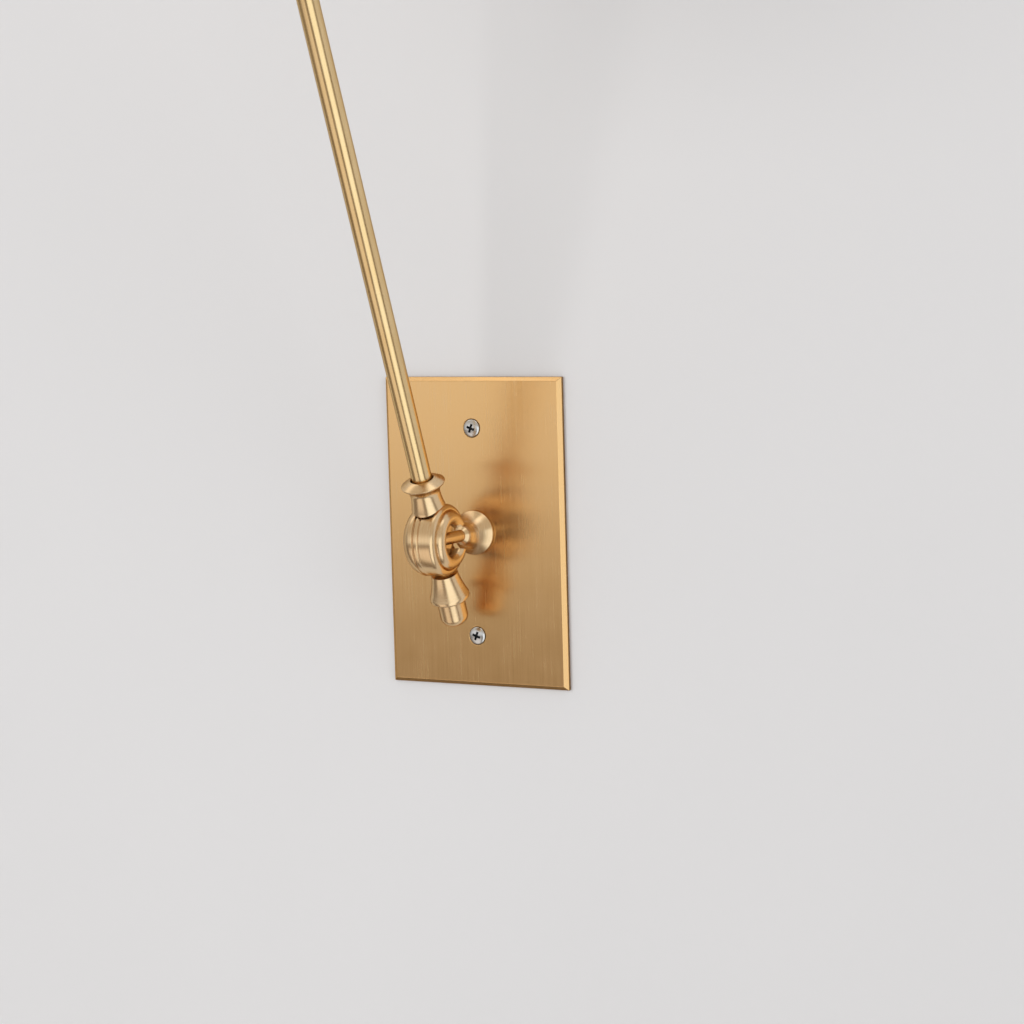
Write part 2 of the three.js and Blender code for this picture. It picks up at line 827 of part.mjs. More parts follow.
// Bulb: screw base with rounded thread turns, black glass insulator, tip, frosted glass
function bulbBase() {
  const turns = Math.floor((bulbBaseLength - bulbThreadPitch) / bulbThreadPitch);
  const outer = [
    [bulbTipRadius + gap, bulbBaseAt],
    [bulbBaseRadius - bulbThreadDepth, bulbBaseAt + bulbThreadPitch / 2],
  ];
  for (let i = 0; i < turns; i += 1) {
    const foot = bulbBaseAt + bulbThreadPitch * (i + 0.5);
    outer.push([bulbBaseRadius, foot + bulbThreadPitch * 0.35]);
    outer.push([bulbBaseRadius, foot + bulbThreadPitch * 0.65]);
    outer.push([bulbBaseRadius - bulbThreadDepth, foot + bulbThreadPitch]);
  }
  outer.push([bulbBaseRadius - bulbThreadDepth / 2, bulbBaseEnd]);
  const bore = bulbBaseRadius - bulbThreadDepth - bulbBaseWall;
  return turned([
    ...outer,
    [bore, bulbBaseEnd],
    [bore, bulbBaseAt + bulbThreadPitch / 2 + bulbBaseWall],
    [bulbTipRadius + gap, bulbBaseAt + bulbBaseWall],
    [bulbTipRadius + gap, bulbBaseAt],
  ]);
}

function bulbInsulator() {
  const top = bulbBaseAt - gap;
  const foot = bulbTipAt + bulbTipHeight + gap;
  return turned(
    [
      [0, foot],
      [bulbTipRadius, foot],
      [bulbTipRadius + 2 * gap, top],
      [bulbTipRadius, top],
      [bulbTipRadius, bulbBaseAt + bulbBaseWall],
      [0, bulbBaseAt + bulbBaseWall],
    ],
    smallSides,
  );
}

function bulbTip() {
  return turned(
    [
      ...arc([0, bulbTipAt + bulbTipHeight], bulbTipRadius, bulbTipHeight, 0.75, 1),
      [0, bulbTipAt + bulbTipHeight],
    ],
    smallSides,
  );
}

function bulbGlass() {
  const neckInner = bulbBaseRadius - bulbThreadDepth - bulbBaseWall - gap;
  const neckFoot = bulbBaseAt + bulbThreadPitch;
  const globeCentre = bulbBaseEnd + bulbNeckLength + bulbRadius;
  const startShare = 0.75 + Math.asin(bulbNeckRadius / bulbRadius) / (2 * Math.PI);
  const outer = [
    [neckInner, neckFoot],
    [neckInner, bulbBaseEnd + gap],
    ...arc([0, globeCentre], bulbRadius, bulbRadius, startShare, 1.25, 2 * curveSteps),
  ];
  const inner = [
    [neckInner - bulbWall, neckFoot],
    [neckInner - bulbWall, bulbBaseEnd + gap],
    ...arc([0, globeCentre], bulbRadius - bulbWall, bulbRadius - bulbWall, startShare, 1.25, curveSteps + 2),
  ].reverse();
  return turned([...outer, ...inner, outer[0]], mediumSides);
}

// Assembly
function piece(parent, name, geometry, material) {
  const mesh = new THREE.Mesh(geometry, material);
  mesh.name = name;
  parent.add(mesh);
  return mesh;
}

function wallMount() {
  const group = new THREE.Group();
  piece(group, 'wall_plate', wallPlate(), satinBrass());
  piece(group, 'upper_screw', plateScrew(), steel()).position.z = screwSpacing / 2;
  piece(group, 'lower_screw', plateScrew(), steel()).position.z = -screwSpacing / 2;
  piece(group, 'wall_bell', bell(), satinBrass()).position.y = plateFront - gap;
  const nipple = ring(nippleBore, nippleRadius, nippleFront, nippleBack);
  piece(group, 'threaded_nipple', nipple, rawBrass());
  piece(group, 'lock_washer', toothedWasher(), steel());
  const nutSeat = gap + washerThickness + gap;
  piece(group, 'nipple_nut', bigNut(nutSeat), rawBrass());
  piece(group, 'ground_screw', groundScrew(), greenSteel()).position.z = -groundScrewDrop;
  return group;
}

function swivel() {
  const group = new THREE.Group();
  const stubMesh = piece(group, 'swivel_stub', stub(stubTail - pivotY), satinBrass());
  stubMesh.position.set(-stubOffset, pivotY, 0);
  const bore = stubRadius + gap;
  const washerBack = tailWasherSeat + tailWasherThickness;
  const washer = ring(bore, tailWasherRadius, tailWasherSeat, washerBack, smallSides);
  piece(group, 'swivel_washer', washer, steel());
  const tailNut = hexNut(tailNutAcrossFlats, bore, tailNutThickness, nutChamfer, tailNutSeat);
  piece(group, 'swivel_nut', tailNut, rawBrass());
  piece(group, 'swivel_wire', wire(pivotY - eyeRibPastCentre, stubTail), wireSheath());
  return group;
}

function knuckle(place, slotFrom, slotTo) {
  const group = new THREE.Group();
  piece(group, `${place}_drum`, drum(slotFrom, slotTo), satinBrass());
  piece(group, `${place}_cap`, cap(), satinBrass());
  piece(group, `${place}_pivot_pin`, pivotPin(), steel());
  piece(group, `${place}_spring_washer`, springWasher(), steel());
  piece(group, `${place}_brake_pad`, brakePad(), brakeFibre());
  piece(group, `${place}_collar`, collar(), satinBrass());
  piece(group, `${place}_thumb_screw`, thumbScrew(), satinBrass());
  return group;
}

function lampHead() {
  const group = new THREE.Group();
  piece(group, 'head_stub', stub(headStubEnd), satinBrass()).position.x = -stubOffset;
  piece(group, 'head_bell', bell(), satinBrass()).position.y = headBellBase;
  piece(group, 'head_nipple', ring(nippleBore, nippleRadius, headNippleFoot, headNippleEnd), rawBrass());
  piece(group, 'socket_cup', socketCup(), satinBrass());
  const nutSeat = cupTop + cupWall + gap;
  piece(group, 'head_nut', bigNut(nutSeat), rawBrass());
  piece(group, 'head_wire', wire(-eyeRibPastCentre, headStubEnd), wireSheath());
  piece(group, 'lampholder', lampholder(), porcelain());
  piece(group, 'screw_shell', screwShell(), aluminium());
  piece(group, 'centre_contact', centreContact(), rawBrass());
  piece(group, 'shade', shade(), satinBrass());
  piece(group, 'shade_ring', shadeRing(), satinBrass());
  piece(group, 'bulb_base', bulbBase(), aluminium());
  piece(group, 'bulb_insulator', bulbInsulator(), blackGlass());
  piece(group, 'bulb_tip', bulbTip(), aluminium());
  piece(group, 'bulb_glass', bulbGlass(), frostedGlass());
  return group;
}

// The arm's Z runs up the tube; the upper knuckle is the lower one turned end for end about X
function arm() {
  const group = new THREE.Group();
  const stubAngle = Math.PI / 2 + armLean;
  group.add(knuckle('lower', stubAngle - armTiltIn, stubAngle + armTiltOut));
  const wireFrom = drumRadius - collarSpigotReach;
  piece(group, 'arm_tube', armTube(), satinBrass());
  piece(group, 'arm_wire', alongZ(wire(wireFrom, armLength - wireFrom)), wireSheath());
  const upper = knuckle('upper', headAngle - headTiltIn, headAngle + headTiltOut);
  upper.position.z = armLength;
  upper.rotation.x = Math.PI;
  const head = lampHead();
  head.position.x = stubOffset;
  head.rotation.x = Math.PI / 2 - headAngle;
  upper.add(head);
  group.add(upper);
  group.position.set(-stubOffset, pivotY, 0);
  group.rotation.x = armLean;
  return group;
}

const sconce = new THREE.Group();
sconce.add(wallMount(), swivel(), arm());

export default sconce;
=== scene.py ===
import json
import math

import bmesh
import bpy
from mathutils import Matrix, Vector


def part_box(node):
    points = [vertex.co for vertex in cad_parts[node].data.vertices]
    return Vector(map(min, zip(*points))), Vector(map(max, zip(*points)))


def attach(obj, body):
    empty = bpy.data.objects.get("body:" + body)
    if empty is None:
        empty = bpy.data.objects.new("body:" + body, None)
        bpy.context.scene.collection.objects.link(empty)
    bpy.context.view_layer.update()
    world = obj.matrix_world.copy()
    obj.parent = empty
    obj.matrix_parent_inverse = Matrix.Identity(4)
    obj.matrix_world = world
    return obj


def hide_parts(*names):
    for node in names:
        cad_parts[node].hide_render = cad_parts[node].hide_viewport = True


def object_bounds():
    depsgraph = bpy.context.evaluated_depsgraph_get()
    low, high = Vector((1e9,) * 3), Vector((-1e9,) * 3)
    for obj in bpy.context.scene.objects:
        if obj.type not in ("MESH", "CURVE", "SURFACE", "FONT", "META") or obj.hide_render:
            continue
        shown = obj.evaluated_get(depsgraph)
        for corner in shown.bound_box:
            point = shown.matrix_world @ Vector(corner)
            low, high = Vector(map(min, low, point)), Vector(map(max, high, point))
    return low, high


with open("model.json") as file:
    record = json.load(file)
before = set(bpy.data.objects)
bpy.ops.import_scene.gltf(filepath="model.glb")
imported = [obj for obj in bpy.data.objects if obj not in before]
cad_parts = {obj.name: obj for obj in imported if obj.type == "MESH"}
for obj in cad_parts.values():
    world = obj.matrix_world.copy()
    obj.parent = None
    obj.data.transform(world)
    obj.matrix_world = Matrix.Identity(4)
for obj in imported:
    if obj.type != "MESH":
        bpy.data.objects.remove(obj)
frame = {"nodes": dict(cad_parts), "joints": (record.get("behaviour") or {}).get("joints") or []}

mm = 0.001
cadLow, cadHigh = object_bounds()
scene = bpy.context.scene
joints = {joint["name"]: joint for joint in frame["joints"]}
print("frame loaded:", len(frame["nodes"]), "nodes")


# places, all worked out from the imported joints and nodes
def turn(angle, axis):
    return Matrix.Rotation(angle, 4, axis)


def shift(x, y, z):
    return Matrix.Translation(Vector((x, y, z)) * mm)


gap = 0.3  # clearance between pieces
seam = gap * 0.85  # how far a land reaches into it, so that the seam nearly closes
stubOffset = 2.5  # the stub's axis lies this far right of the knuckle's middle
lowerPivot = Vector(joints["arm_tilt"]["pos_m"])
upperPivot = Vector(joints["head_tilt"]["pos_m"])
armLine = upperPivot - lowerPivot
armLength = armLine.length / mm
armLean = math.atan2(-armLine.y, armLine.z)
lampAngle = math.radians(72)  # between the tube and the lamp's axis at rest
swivelPlace = Matrix.Translation(lowerPivot)
lowerPlace = swivelPlace @ turn(armLean, "X")
upperPlace = Matrix.Translation(upperPivot) @ turn(armLean + math.pi, "X")
headPlace = upperPlace @ turn(math.pi / 2 - lampAngle, "X")
lampPlace = headPlace @ shift(stubOffset, 0, 0)
alongX = turn(-math.pi / 2, "Z")
alongZ = turn(math.pi / 2, "X")


# camera, fitted to the plate's corners and screws
camera = {
    "place": (492.53, -908.82, 114.50),
    "yaw": 27.6906,
    "pitch": -5.9111,
    "roll": -1.5701,
    "pixelsPerUnit": 2600.0,
    "frameWidth": 1024.0,
}


def makeCamera():
    yaw, pitch, roll = (math.radians(camera[k]) for k in ("yaw", "pitch", "roll"))
    forward = Vector((-math.sin(yaw) * math.cos(pitch), math.cos(yaw) * math.cos(pitch), math.sin(pitch)))
    level = Vector((math.cos(yaw), math.sin(yaw), 0))
    upward = level.cross(forward)
    right = math.cos(roll) * level + math.sin(roll) * upward
    up = -math.sin(roll) * level + math.cos(roll) * upward
    data = bpy.data.cameras.new("photoCamera")
    data.sensor_width = 36
    data.lens = camera["pixelsPerUnit"] / camera["frameWidth"] * data.sensor_width
    data.clip_start, data.clip_end = 0.05, 50
    made = bpy.data.objects.new("photoCamera", data)
    scene.collection.objects.link(made)
    made.matrix_world = Matrix.Translation(Vector(camera["place"]) * mm) @ Matrix(
        [[right[i], up[i], -forward[i], 0] for i in range(3)] + [[0, 0, 0, 1]]
    )
    scene.camera = made


makeCamera()


# material tools: a value that is a socket is linked, any other is set on the node or its socket
def setIn(tree, node, **values):
    for key, value in values.items():
        if isinstance(value, bpy.types.NodeSocket):
            tree.links.new(value, node.inputs[key.replace("_", " ")])
        elif hasattr(node, key):
            setattr(node, key, value)
        else:
            node.inputs[key.replace("_", " ")].default_value = value
    return node


def nodeIn(tree, kind, **values):
    return setIn(tree, tree.nodes.new(kind), **values)


def startMaterial(name):
    material = bpy.data.materials.new(name)
    material.use_nodes = True
    tree = material.node_tree
    return material, tree, tree.nodes["Principled BSDF"]


def rampIn(tree, source, stops):
    ramp = nodeIn(tree, "ShaderNodeValToRGB", Fac=source)
    while len(ramp.color_ramp.elements) < len(stops):
        ramp.color_ramp.elements.new(0.5)
    for element, (place, colour) in zip(ramp.color_ramp.elements, stops):
        element.position = place
        element.color = (*colour, 1)
    return ramp.outputs["Color"]


def rangeIn(tree, source, low, high):
    node = nodeIn(tree, "ShaderNodeMapRange", Value=source, From_Min=0.3, From_Max=0.7)
    return setIn(tree, node, To_Min=low, To_Max=high).outputs["Result"]


def stepIn(tree, source, start, end):
    node = nodeIn(tree, "ShaderNodeMapRange", interpolation_type="SMOOTHSTEP", Value=source)
    return setIn(tree, node, From_Min=start, From_Max=end).outputs["Result"]


def noiseIn(tree, vector, scale, detail, roughness, stretch=(1, 1, 1)):
    mapping = nodeIn(tree, "ShaderNodeMapping", Scale=stretch, Vector=vector)
    noise = nodeIn(tree, "ShaderNodeTexNoise", Vector=mapping.outputs["Vector"])
    return setIn(tree, noise, Scale=scale, Detail=detail, Roughness=roughness).outputs["Fac"]


def cloudsIn(tree, scale, detail, roughness):
    coordinates = nodeIn(tree, "ShaderNodeTexCoord")
    return noiseIn(tree, coordinates.outputs["Object"], scale, detail, roughness)


def bumpIn(tree, height, strength, distance):
    bump = nodeIn(tree, "ShaderNodeBump", Height=height, Strength=strength, Distance=distance)
    return bump.outputs["Normal"]


def mathIn(tree, operation, one, two=None):
    node = nodeIn(tree, "ShaderNodeMath", operation=operation)
    for socket, value in zip(node.inputs, (one, two)):
        if isinstance(value, (int, float)):
            socket.default_value = value
        elif value is not None:
            tree.links.new(value, socket)
    return node.outputs["Value"]


def mixIn(tree, share, one, two):
    node = nodeIn(tree, "ShaderNodeMix", data_type="RGBA", Factor=share)
    for socket, value in ((node.inputs[6], one), (node.inputs[7], two)):
        if isinstance(value, tuple):
            socket.default_value = (*value, 1)
        else:
            tree.links.new(value, socket)
    return node.outputs[2]


def shadersIn(tree, share, one, two):
    mix = nodeIn(tree, "ShaderNodeMixShader", Fac=share)
    tree.links.new(one, mix.inputs[1])
    tree.links.new(two, mix.inputs[2])
    return mix.outputs["Shader"]


# brass tones: dull, usual and worn
tones = {
    "flat": ((0.73, 0.44, 0.18), (0.80, 0.51, 0.235), (0.85, 0.58, 0.30)),
    "plate": ((0.765, 0.475, 0.205), (0.80, 0.51, 0.235), (0.825, 0.545, 0.27)),
    "turned": ((0.72, 0.49, 0.26), (0.80, 0.58, 0.34), (0.87, 0.67, 0.43)),
    "tube": ((0.73, 0.51, 0.24), (0.80, 0.59, 0.31), (0.86, 0.66, 0.38)),
    # inside is painted shade, a dark copy of the brass for the drum's hollow and slot
    "inside": ((0.47, 0.31, 0.16), (0.57, 0.39, 0.21), (0.65, 0.46, 0.26)),
    # edge is painted shade, a dark copy of the brass for the plate's sides and lower chamfer
    "edge": ((0.25, 0.14, 0.06), (0.34, 0.20, 0.09), (0.44, 0.27, 0.13)),
}
grazing = (0.50, 0.38, 0.26, 1.0)  # a lacquered brass darkens where it is seen edge on


# grain is how the brush or the lathe tool ran, in UV or object space
def brass(
    name, tone, grain, roughness, anisotropy=0.0, across=0.0, useUv=True, lines=0.00001, cloud=60.0
):
    material, tree, shader = startMaterial(name)
    coordinates = nodeIn(tree, "ShaderNodeTexCoord")
    streaks = noiseIn(tree, coordinates.outputs["UV" if useUv else "Object"], 1.0, 2.0, 0.6, grain)
    clouds = cloudsIn(tree, cloud, 4.0, 0.55)
    mix = nodeIn(tree, "ShaderNodeMix", data_type="FLOAT", Factor=0.4, A=streaks, B=clouds)
    blend = mix.outputs["Result"]
    colour = rampIn(tree, blend, list(zip((0.28, 0.50, 0.74), tones[tone])))
    rough = rangeIn(tree, blend, roughness - 0.04, roughness + 0.05)
    normal = bumpIn(tree, streaks, 0.3, lines)
    setIn(tree, shader, Base_Color=colour, Roughness=rough, Normal=normal)
    setIn(tree, shader, Metallic=1.0, Specular_Tint=grazing)
    if anisotropy:
        direction = "UV_MAP" if useUv else "RADIAL"
        tangent = nodeIn(tree, "ShaderNodeTangent", direction_type=direction, axis="Z")
        setIn(tree, shader, Anisotropic=anisotropy, Anisotropic_Rotation=across)
        setIn(tree, shader, Tangent=tangent.outputs["Tangent"])
    return material


def plain(name, colour, roughness, metallic=0.0, spread=0.06, scale=90.0, coat=0.0):
    material, tree, shader = startMaterial(name)
    clouds = cloudsIn(tree, scale, 4.0, 0.6)
    low = tuple(max(0, c * (1 - spread)) for c in colour)
    high = tuple(min(1, c * (1 + spread)) for c in colour)
    mottled = rampIn(tree, clouds, [(0.3, low), (0.7, high)])
    rough = rangeIn(tree, clouds, roughness - 0.04, roughness + 0.06)
    normal = bumpIn(tree, clouds, 0.15, 0.00002)
    setIn(tree, shader, Base_Color=mottled, Roughness=rough, Normal=normal)
    setIn(tree, shader, Metallic=metallic, Coat_Weight=coat)
    return material


def frosted(name):
    material, tree, shader = startMaterial(name)
    clouds = cloudsIn(tree, 900.0, 2.0, 0.5)
    colour = rampIn(tree, clouds, [(0.3, (0.90, 0.89, 0.86)), (0.7, (0.94, 0.93, 0.90))])
    setIn(tree, shader, Base_Color=colour, Roughness=rangeIn(tree, clouds, 0.28, 0.36))
    setIn(tree, shader, Subsurface_Weight=0.35, Subsurface_Radius=(0.01, 0.01, 0.009), Subsurface_Scale=0.5)
    return material


# one finish per slot; on a turned piece the highlight runs across the tool marks, a quarter turn round
finishes = {
    "plate_brass": brass("plateBrass", "plate", (2600, 2600, 26), 0.24, 0.6, useUv=False, lines=0.00002),
    "fitting_brass": brass("turnedBrass", "turned", (30, 5200, 1), 0.24, 0.45, 0.25, lines=0.00002),
    "tube_brass": brass("tubeBrass", "tube", (4200, 24, 1), 0.20),
    "shade_brass": brass("spunBrass", "flat", (14, 2400, 1), 0.25, 0.5, 0.25, lines=0.00003, cloud=25.0),
    "raw_brass": brass("rawBrass", "flat", (900, 900, 900), 0.36, useUv=False),
    "screw_steel": plain("screwSteel", (0.66, 0.67, 0.68), 0.24, 1.0),
    "plain_steel": plain("plainSteel", (0.56, 0.56, 0.55), 0.34, 1.0),
    "green_screw": plain("greenSteel", (0.06, 0.24, 0.11), 0.35, 0.4, coat=0.5),
    "porcelain": plain("porcelain", (0.86, 0.84, 0.79), 0.18, 0.0, 0.03, 40.0, coat=0.6),
    "shell_aluminium": plain("shellMetal", (0.72, 0.72, 0.72), 0.3, 1.0),
    "black_glass": plain("blackGlass", (0.02, 0.02, 0.022), 0.12, 0.0, 0.2, coat=0.4),
    "wire_sheath": plain("wireSheath", (0.68, 0.62, 0.50), 0.5),
    "brake_fibre": plain("brakeFibre", (0.26, 0.15, 0.08), 0.85, 0.0, 0.3, 700.0),
    "frosted_glass": frosted("frostedGlass"),
}
# painted shade: a dark brass for the plate's sides and lower chamfer, standing in for the dark reflection
# they show
shadedEdgeBrass = brass("shadedEdgeBrass", "edge", (900, 900, 900), 0.42, useUv=False)
# painted shade: a darker, rougher brass for the drum's hollow and slot; the darker colour stands in for the
# shade there
shadedInsideBrass = brass("shadedInsideBrass", "inside", (1200, 1200, 1200), 0.42, useUv=False)
# painted shade: near-black steel for the faces inside the screws' cross recesses
shadedRecessSteel = plain("shadedRecessSteel", (0.10, 0.11, 0.12), 0.5, 0.6)
shadeWhite = plain("shadeWhite", (0.88, 0.87, 0.84), 0.4, 0.0, 0.02, 60.0)
print("materials made")


# profiles are lists of (radius, height) in millimetres, spun about Y
def flare(narrow, wide, power, steps=28):
    points = []
    for i in range(steps + 1):
        share = i / steps
        across = narrow[0] + (wide[0] - narrow[0]) * share**power
        points.append((across, narrow[1] + (wide[1] - narrow[1]) * share))
    return points


def arc(centre, reach, rise, fromTurn, toTurn, steps=16):
    points = []
    for i in range(steps + 1):
        angle = 2 * math.pi * (fromTurn + (toTurn - fromTurn) * i / steps)
        points.append((centre[0] + reach * math.cos(angle), centre[1] + rise * math.sin(angle)))
    return points


# rounds the corners of a profile, each over at most this share of its sides
def softened(profile, radius, steps=4, sharpest=14.0, most=0.42):
    closed = profile[0] == profile[-1]
    points = [Vector(p) for p in (profile[:-1] if closed else profile)]
    made = []
    for i, here in enumerate(points):
        if not closed and i in (0, len(points) - 1):
            made.append(tuple(here))
            continue
        before, after = points[i - 1], points[(i + 1) % len(points)]
        back, on = before - here, after - here
        if back.length < 1e-6 or on.length < 1e-6 or math.degrees(math.pi - back.angle(on)) < sharpest:
            made.append(tuple(here))
            continue
        trim = min(radius, most * back.length, most * on.length)
        start, end = here + back.normalized() * trim, here + on.normalized() * trim
        for k in range(steps + 1):
            share = k / steps
            made.append(tuple(start * (1 - share) ** 2 + here * 2 * share * (1 - share) + end * share**2))
    if closed:
        made.append(made[0])
    return made


def offsetLine(points, wall):
    moved = []
    for i, (r, y) in enumerate(points):
        before, after = points[max(i - 1, 0)], points[min(i + 1, len(points) - 1)]
        run = Vector((after[0] - before[0], after[1] - before[1])).normalized()
        moved.append((r - wall * run.y, y + wall * run.x))
    return moved


def shellOf(outerLine, wall):
    return [*outerLine, *reversed(offsetLine(outerLine, wall)), outerLine[0]]


# a stepped profile: after the first point, each value is the next radius or the next height, in turn
def stepped(radius, height, *values):
    points = [(radius, height)]
    for i, value in enumerate(values):
        radius, height = (radius, value) if i % 2 else (value, height)
        points.append((radius, height))
    return points


def ringProfile(inner, outer, start, end):
    return stepped(inner, start, outer, end, inner, start)


def rodProfile(radius, start, end):
    return stepped(0, start, radius, end, 0)


# mesh tools
def addObject(name, mesh):
    made = bpy.data.objects.new(name, mesh)
    scene.collection.objects.link(made)
    return made


def built(name, build):
    bmesh.ops.recalc_face_normals(build, faces=build.faces)
    mesh = bpy.data.meshes.new(name)
    build.to_mesh(mesh)
    build.free()
    return addObject(name, mesh)


def threadRows(radius, start, end, pitch):
    steps = max(2, round((end - start) / pitch * 8))
    return [(radius, start + (end - start) * i / steps) for i in range(steps + 1)]


# a thread is its radius, start, end, pitch and depth
def threaded(r, y, angle, thread):
    radius, start, end, pitch, depth = thread
    if not start <= y <= end or abs(r - radius) >= 1e-6:
        return r
    wave = 0.5 - 0.5 * math.cos(2 * math.pi * (y / pitch) - angle)
    fade = min(1, (y - start) / pitch, (end - y) / pitch)
    return r - depth * wave * fade


def spun(name, profile, place, sides=96, radius=0.0, thread=None):
    if radius:
        profile = softened(profile, radius)
    closed = profile[0] == profile[-1]
    line = profile[:-1] if closed else profile
    build = bmesh.new()
    uvLayer = build.loops.layers.uv.new("UVMap")
    rings = []
    for r, y in line:
        if r < 1e-6:
            rings.append([build.verts.new(place @ Vector((0, y * mm, 0)))])
        else:
            corners = []
            for k in range(sides):
                angle = 2 * math.pi * k / sides
                reach = threaded(r, y, angle, thread) if thread else r
                spot = Vector((reach * math.sin(angle), y, reach * math.cos(angle)))
                corners.append(build.verts.new(place @ (spot * mm)))
            rings.append(corners)
    run = [0.0]
    for one, two in zip(line, line[1:] + ([line[0]] if closed else [])):
        run.append(run[-1] + math.dist(one, two) * mm)
    middle = sum(r for r, _ in line) / len(line) * 2 * math.pi * mm
    for i in range(len(rings) if closed else len(rings) - 1):
        low, high = rings[i], rings[(i + 1) % len(rings)]
        for k in range(sides if max(len(low), len(high)) > 1 else 0):
            nextK = (k + 1) % sides
            corners = [(low[k], k, i), (low[nextK], k + 1, i)] if len(low) > 1 else [(low[0], k + 0.5, i)]
            if len(high) > 1:
                corners += [(high[nextK], k + 1, i + 1), (high[k], k, i + 1)]
            else:
                corners.append((high[0], k + 0.5, i + 1))
            face = build.faces.new([corner[0] for corner in corners])
            for loop, corner in zip(face.loops, corners):
                loop[uvLayer].uv = (corner[1] / sides * middle, run[corner[2]])
    return smooth(built(name, build))


# a plain round cutter
def rod(radius, start, end, place, sides):
    return spun("cutter", rodProfile(radius, start, end), place, sides)


def smooth(piece, angle=32):
    piece.data.shade_smooth()
    piece.data.set_sharp_from_angle(angle=math.radians(angle))
    return piece


def settle(piece):
    bpy.context.view_layer.update()
    graph = bpy.context.evaluated_depsgraph_get()
    mesh = bpy.data.meshes.new_from_object(piece.evaluated_get(graph))
    piece.modifiers.clear()
    piece.data = mesh
    return piece


def carved(base, cutters, operation="DIFFERENCE"):
    for cutter in cutters:
        modifier = base.modifiers.new("cut", "BOOLEAN")
        modifier.operation = operation
        modifier.solver = "EXACT"
        modifier.object = cutter
    settle(base)
    for cutter in cutters:
        bpy.data.objects.remove(cutter)
    return smooth(base)


def block(name, size, place):
    build = bmesh.new()
    bmesh.ops.create_cube(build, size=1)
    for corner in build.verts:
        x, y, z = (a * b for a, b in zip(corner.co, size))
        corner.co = place @ (Vector((x, y, z)) * mm)
    return built(name, build)


def bevelled(piece, width, segments=3, angle=35):
    modifier = piece.modifiers.new("edge", "BEVEL")
    modifier.width = width * mm
    modifier.segments = segments
    modifier.limit_method = "ANGLE"
    modifier.angle_limit = math.radians(angle)
    modifier.harden_normals = True
    return settle(piece)


# 1 for each face that passes the test, which is given its middle and its direction
def pickedFaces(piece, place, test):
    back = place.inverted()
    straight = back.to_3x3()
    return [
        int(test(back @ face.center / mm, (straight @ face.normal).normalized()))
        for face in piece.data.polygons
    ]


# the picked faces, if any, take the other material
def finished(piece, body, slot, node, other=None, faces=None):
    piece.data.materials.clear()
    piece.data.materials.append(finishes[slot])
    if other:
        piece.data.materials.append(other)
        piece.data.polygons.foreach_set("material_index", faces)
    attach(piece, body)
    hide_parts(node)


# wall plate and what holds it
plate = {
    "width": 79.4, "height": 124.0, "thickness": 3.0, "chamfer": 1.6, "edge": 0.22,
    "screwSpacing": 83.34, "centreHole": 5.15, "groundDrop": 21.0, "groundHole": 2.4,
    "groundDepth": 2.0,
}
screw = {
    "shank": 1.75, "head": 3.55, "dome": 1.1, "sink": 1.7, "length": 25.0, "arm": 1.8,
    "slot": 1.0, "deep": 2.2, "pitch": 0.8, "threadDepth": 0.35, "plainShare": 0.22,
    "point": 1.2, "pointDrop": 0.6, "turned": 20.0,
}
plateFront = -plate["thickness"]


def makePlate():
    front = plateFront
    wide, high, cut = plate["width"] / 2, plate["height"] / 2, plate["chamfer"]
    build = bmesh.new()
    rows = []
    for x, z, y in ((wide, high, 0), (wide, high, front + cut), (wide - cut, high - cut, front)):
        corners = [(-x, -z), (x, -z), (x, z), (-x, z)]
        rows.append([build.verts.new(Vector((cx, y, cz)) * mm) for cx, cz in corners])
    build.faces.new(rows[0])
    build.faces.new(rows[2])
    for low, top in zip(rows, rows[1:]):
        for k in range(4):
            build.faces.new([low[k], low[(k + 1) % 4], top[(k + 1) % 4], top[k]])
    piece = built("plate_body", build)
    head, shank = screw["head"] + gap, screw["shank"] + gap
    sink = [*stepped(0, front - 1, head, front), (shank, front + screw["sink"]), (shank, 1), (0, 1)]
    spots = [shift(0, 0, side * plate["screwSpacing"] / 2) for side in (-1, 1)]
    cutters = [spun("cutter", sink, spot, 48) for spot in spots]
    cutters.append(rod(plate["centreHole"], front - 1, 1, Matrix(), 64))
    spot = shift(0, 0, -plate["groundDrop"])
    cutters.append(rod(plate["groundHole"], -plate["groundDepth"], 1, spot, 48))
    carved(piece, cutters)
    bevelled(piece, plate["edge"])

    # painted shade: the plate's thin sides and its lower chamfer are painted darker, standing in for the
    # dark reflection of wall and floor they show
    def shadedEdge(spot, facing):
        rim = 1
        outside = abs(spot.x) > wide - rim or abs(spot.z) > high - rim
        return outside and (facing.y > -0.3 or facing.z < -0.5)

    faces = pickedFaces(piece, Matrix(), shadedEdge)
    finished(piece, "wall_mount", "plate_brass", "wall_plate", shadedEdgeBrass, faces)


